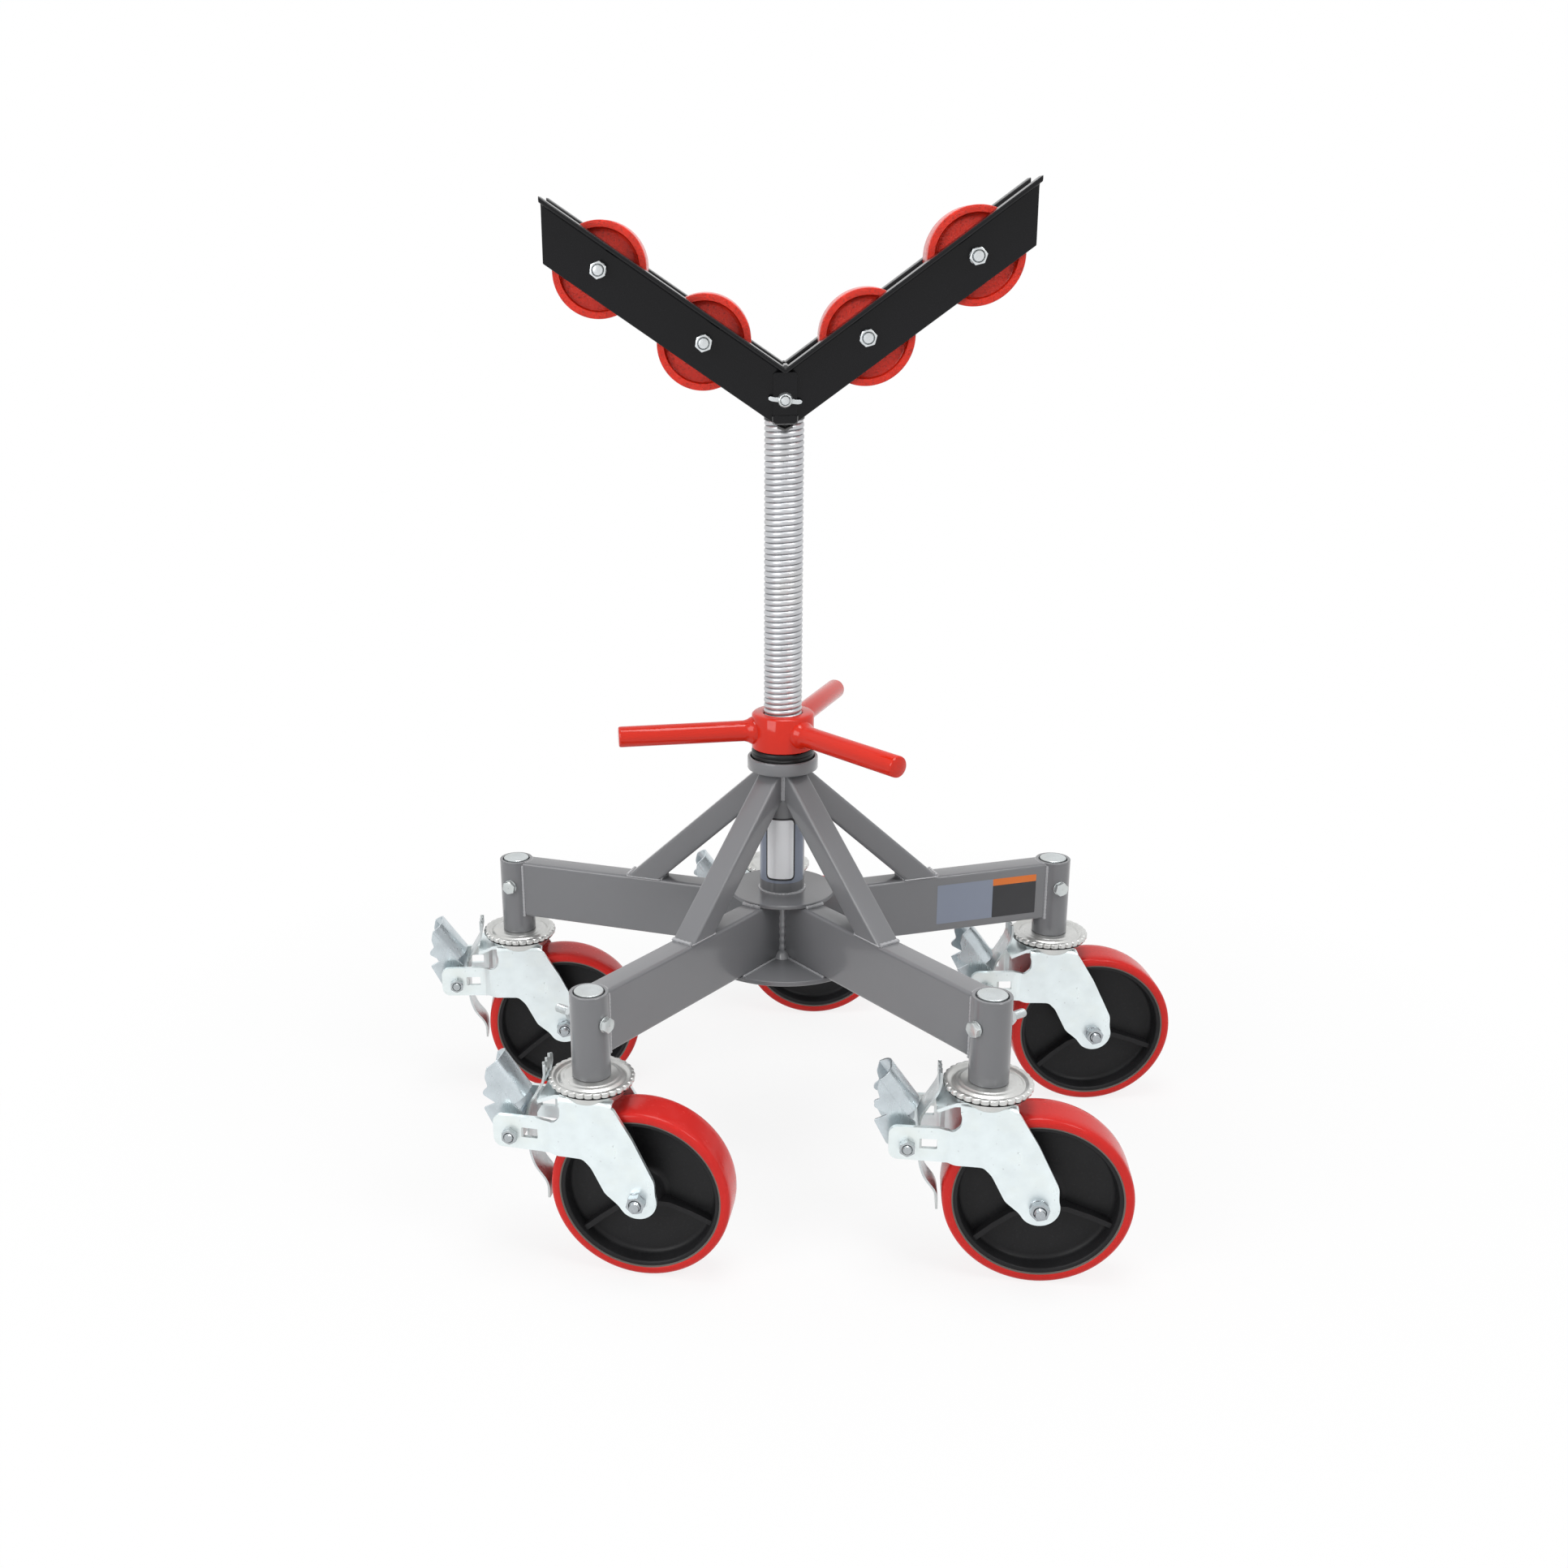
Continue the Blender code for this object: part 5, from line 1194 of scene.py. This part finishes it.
shoulder = [(91, 24.4), (92, 25.3), (93.4, 25.5), (96, 25.5), (98.6, 24.6), (100.5, 22.6)]
shoulder += [(101.3, 19.6), (101.55, 12), (101.6, 4)]
tread.lathe(both_sides(shoulder), TO_FRONT, 160, True)
tread.five("wheel_tread_{}", TREAD, "wheel_{}", on_axle, "tyre_{}")

# %% [markdown]
# ## Brake pedals
# A pedal is one sheet folded into a channel. Its back is arched across, and its two sides have
# teeth for a foot to catch. The arch is a curved section pushed along a straight line, and each
# side is an outline with thickness.

# %% The pedal about its bolt
PEDAL_HALF = 22 * MM
FOLD = 16 * MM
THIN = 2.5 * MM


def arch_line(radius):
    """The arched back's section at one distance from the folds, as (y, depth)."""
    left = arc((FOLD - PEDAL_HALF, FOLD), radius, 180, 270, 7)
    return left + arc((PEDAL_HALF - FOLD, FOLD), radius, 270, 360, 7)


pedal = Build()
ridge = [Vector(point) for point in mm([(-17, 79), (13, 37)])]
along = (ridge[1] - ridge[0]).normalized()
inward = Vector((along.y, -along.x))
arch_rows = []
for end in ridge:
    section = [(end + inward * depth, y) for y, depth in arch_line(FOLD) + arch_line(FOLD - THIN)[::-1]]
    arch_rows.append([(point.x, y, point.y) for point, y in section])
pedal.grid(arch_rows)
teeth = [(9, 20), (9.5, 2), (1, -8), (-21, -8), (-35.4, 20.5), (-21, 28), (-35.4, 36.5), (-35.4, 41)]
pedal_side = [tuple(end + inward * FOLD) for end in ridge] + mm(teeth + [(-29.5, 47), (-32.5, 58)])
for low in (-PEDAL_HALF, PEDAL_HALF - THIN):
    pedal.plate(rounded(pedal_side, 2 * MM, 3), low, low + THIN)
# The pedal's darker plating is painted reflection.
pedal.five("pedal_{}_sheet", PEDAL_ZINC, "pedal_{}", on_ear, "brake_pedal_{}", bevel=0.5 * MM)

# %% [markdown]
# ## Brake straps
# The strap is one bent strip. Its lower end presses on the tread, and its upper end is a crimped
# tongue that locks into the toothed ring. The strip is a grid pushed along a bent line, and the
# crimps are a wave that grows towards the tongue's end, where the strip narrows a little.

# %% The strip along its line
HALF_STRIP = 16 * MM
CRIMP = 10.6 * MM
CRIMP_START = 230 * MM
TAPER_START = 244.5 * MM
bends = mm([(-50.3, 80.6), (-50.3, 100), (-65.5, 119.9), (-71, 139.9), (-71.6, 192), (-53, 223)])
bends += mm([(-50.8, 231), (-50.8, 248.5)])
line = spaced(rounded(bends, 9 * MM, 6, open_line=True), 1.2 * MM)


def strip_row(index):
    """The strip's section at one point of its line."""
    here = line[index]
    ahead = line[min(index + 1, len(line) - 1)] - line[max(index - 1, 0)]
    normal = Vector((-ahead.y, ahead.x)).normalized()
    growth = min(1, max(0, (here.y - CRIMP_START) / (7 * MM)))
    half_width = HALF_STRIP - max(0, here.y - TAPER_START) * 0.35
    near, far = [], []
    for k in range(41):
        y = half_width * (k / 20 - 1)
        crimp = 1.0 * MM * growth * math.cos(2 * math.pi * y / CRIMP)
        height = here.y
        if index == len(line) - 1:
            height -= 3.2 * MM * (1 - abs(math.cos(math.pi * y / CRIMP)) ** 0.6)
        near.append((here.x + normal.x * (crimp + THIN / 2), y, height + normal.y * THIN / 2))
        far.append((here.x + normal.x * (crimp - THIN / 2), y, height - normal.y * THIN / 2))
    return near + far[::-1]


strip = Build()
strip.grid([strip_row(index) for index in range(len(line))])
tab = panel(-72.2 * MM, -69.8 * MM, 168.8 * MM, 180.2 * MM, 0.6 * MM, 2)
for side in (-1, 1):
    strip.plate(tab, *sorted((side * 15 * MM, side * (EAR_FACE + 0.2 * MM))))
# The straps take the stems' darker plating: a painted reflection, which also paints shade in the ears' slot
# where the tab shows.
strip.five("strap_{}_strip", STEM_ZINC, "strap_{}", caster_frame, "brake_strap_{}", 50)

# %% [markdown]
# ## Floor and sky
# The stand was photographed on a white sweep under big soft lamps. The floor is a pale, wide sheet
# that keeps the stand's soft shadow, and turns plain white further out, so no edge shows. The sky
# is plain white to the camera, in mirror-like surfaces and through clear ones. As a light it is
# bright at the horizon, dim overhead and dimmer in front, so the sides of a tube differ in tone.

# %% The white sweep
def plainly_seen(nodes):
    """1 for the camera's rays and for mirrored and clear ones, and 0 for plain light."""
    ray = nodes.node("ShaderNodeLightPath", {}, {}, "Is Camera Ray")
    return ray + ray.output("Is Glossy Ray") + ray.output("Is Transmission Ray")


floor_mesh = bmesh.new()
bmesh.ops.create_grid(floor_mesh, x_segments=8, y_segments=8, size=14)
floor_data = bpy.data.meshes.new("floor")
floor_mesh.to_mesh(floor_data)
floor_mesh.free()
floor = bpy.data.objects.new("floor", floor_data)
bpy.context.scene.collection.objects.link(floor)
floor.location.z = -0.3 * MM
sweep = Finish("white_sweep", "none", (0.86, 0.86, 0.86), 0.6, gleam=0.2)
distance = sweep.vector("LENGTH", sweep.spot, output="Value")
white_share = (0.84 + 0.16 * sweep.between(distance, 0.42, 1.1)) * plainly_seen(sweep)
glow = sweep.node("ShaderNodeEmission", {}, {"Color": (1, 1, 1, 1), "Strength": 1.0})
lit = Signal(sweep, sweep.shader.outputs[0])
surface = sweep.node("ShaderNodeMixShader", {}, {0: white_share, 1: lit, 2: glow})
sweep.link(surface, sweep.tree.nodes["Material Output"].inputs["Surface"])
floor_data.materials.append(sweep.material)
print("floor", round(floor.dimensions.x), "metres wide")

# %% The sky
world = bpy.data.worlds.new("sky")
bpy.context.scene.world = world
world.use_nodes = True
sky = Nodes(world.node_tree)
background = sky.tree.nodes["Background"]
background.inputs["Color"].default_value = (1, 1, 1, 1)
direction = sky.node("ShaderNodeTexCoord", {}, {}, "Generated")
depth = sky.node("ShaderNodeSeparateXYZ", {}, {"Vector": direction}, "Y")
dome = sky.node("ShaderNodeMapRange", {}, {"Value": depth.output("Z"), "To Min": 0.95, "To Max": 0.22})
front_span = {"From Min": -1.0, "From Max": -0.2, "To Min": 0.15}
in_front_dim = sky.node("ShaderNodeMapRange", {}, {"Value": depth, **front_span})
strengths = {"Value": plainly_seen(sky), "To Min": dome * in_front_dim, "To Max": 1.0}
sky.link(sky.node("ShaderNodeMapRange", {}, strengths), background.inputs["Strength"])
print("sky made of", len(sky.tree.nodes), "nodes")

# %% [markdown]
# ## Lamps
# Three soft lamps shape the forms. One hangs overhead, a smaller one stands high on the right, as
# the streaks on the bars show, and the broadest fills from the front left. A sun would be simpler,
# but it gives hard shadows, and the photograph has soft ones.

# %% Soft lamps
def soft_lamp(name, power, size, place, aim):
    """A square lamp that looks at a point."""
    lamp = bpy.data.lights.new(name, "AREA")
    lamp.energy = power
    lamp.shape = "SQUARE"
    lamp.size = size
    holder = bpy.data.objects.new(name, lamp)
    bpy.context.scene.collection.objects.link(holder)
    holder.location = place
    holder.rotation_euler = (Vector(aim) - Vector(place)).to_track_quat("-Z", "Y").to_euler()


soft_lamp("top_lamp", 48, 1.5, (0.2, -0.4, 3.3), (0, 0, 0.4))
soft_lamp("key_lamp", 24, 1.0, (1.9, -1.7, 2.6), (0, 0, 0.5))
soft_lamp("fill_lamp", 44, 1.9, (-2.1, -2.2, 1.9), (0, 0, 0.5))
print("lamps:", len(bpy.data.lights))

# %% [markdown]
# ## The camera
# The camera stands where the photographer stood: almost two metres in front, a little over a metre
# up, looking down by about 19 degrees. The picture is an off-centre part of the lens's view, so the
# camera has a shift, and it leans by two degrees. Its focal length and its centre were measured in
# the photograph's own pixels, so they are divided by the photograph's width.

# %% The photographer's view
PITCH_DOWN = 0.3252
LEAN = -0.0388
HEADING = -0.1124
PHOTO_SIDE = 1932
FOCAL_PIXELS = 2032.53
CENTRE_PIXELS = (700.515, 984.645)
SENSOR = 36

across = Vector((math.cos(HEADING), -math.sin(HEADING), 0))
level_ahead = Vector((math.sin(HEADING), math.cos(HEADING), 0))
plumb = Vector((0, 0, 1))
upward = level_ahead * math.sin(PITCH_DOWN) + plumb * math.cos(PITCH_DOWN)
ahead = level_ahead * math.cos(PITCH_DOWN) - plumb * math.sin(PITCH_DOWN)
x_axis = across * math.cos(LEAN) + upward * math.sin(LEAN)
y_axis = upward * math.cos(LEAN) - across * math.sin(LEAN)
pose = Matrix((x_axis, y_axis, -ahead)).transposed().to_4x4()
pose.translation = COLUMN @ Vector((-45.3 * MM, -1910.8 * MM, 1101.8 * MM))

camera_data = bpy.data.cameras.new("camera")
camera = bpy.data.objects.new("camera", camera_data)
bpy.context.scene.collection.objects.link(camera)
camera.matrix_world = pose
camera_data.sensor_width = SENSOR
camera_data.lens = FOCAL_PIXELS * SENSOR / PHOTO_SIDE
camera_data.shift_x = (PHOTO_SIDE / 2 - CENTRE_PIXELS[0]) / PHOTO_SIDE
camera_data.shift_y = (CENTRE_PIXELS[1] - PHOTO_SIDE / 2) / PHOTO_SIDE
camera_data.clip_end = 60
bpy.context.scene.camera = camera
bpy.context.scene.view_settings.view_transform = "Standard"
print("lens:", round(camera_data.lens, 2), "mm")

# %% [markdown]
# ## The last step
# The scene is brought up to date. The dressed stand has to stay inside the solids' box.

# %% Bring the scene up to date
bpy.context.view_layer.update()
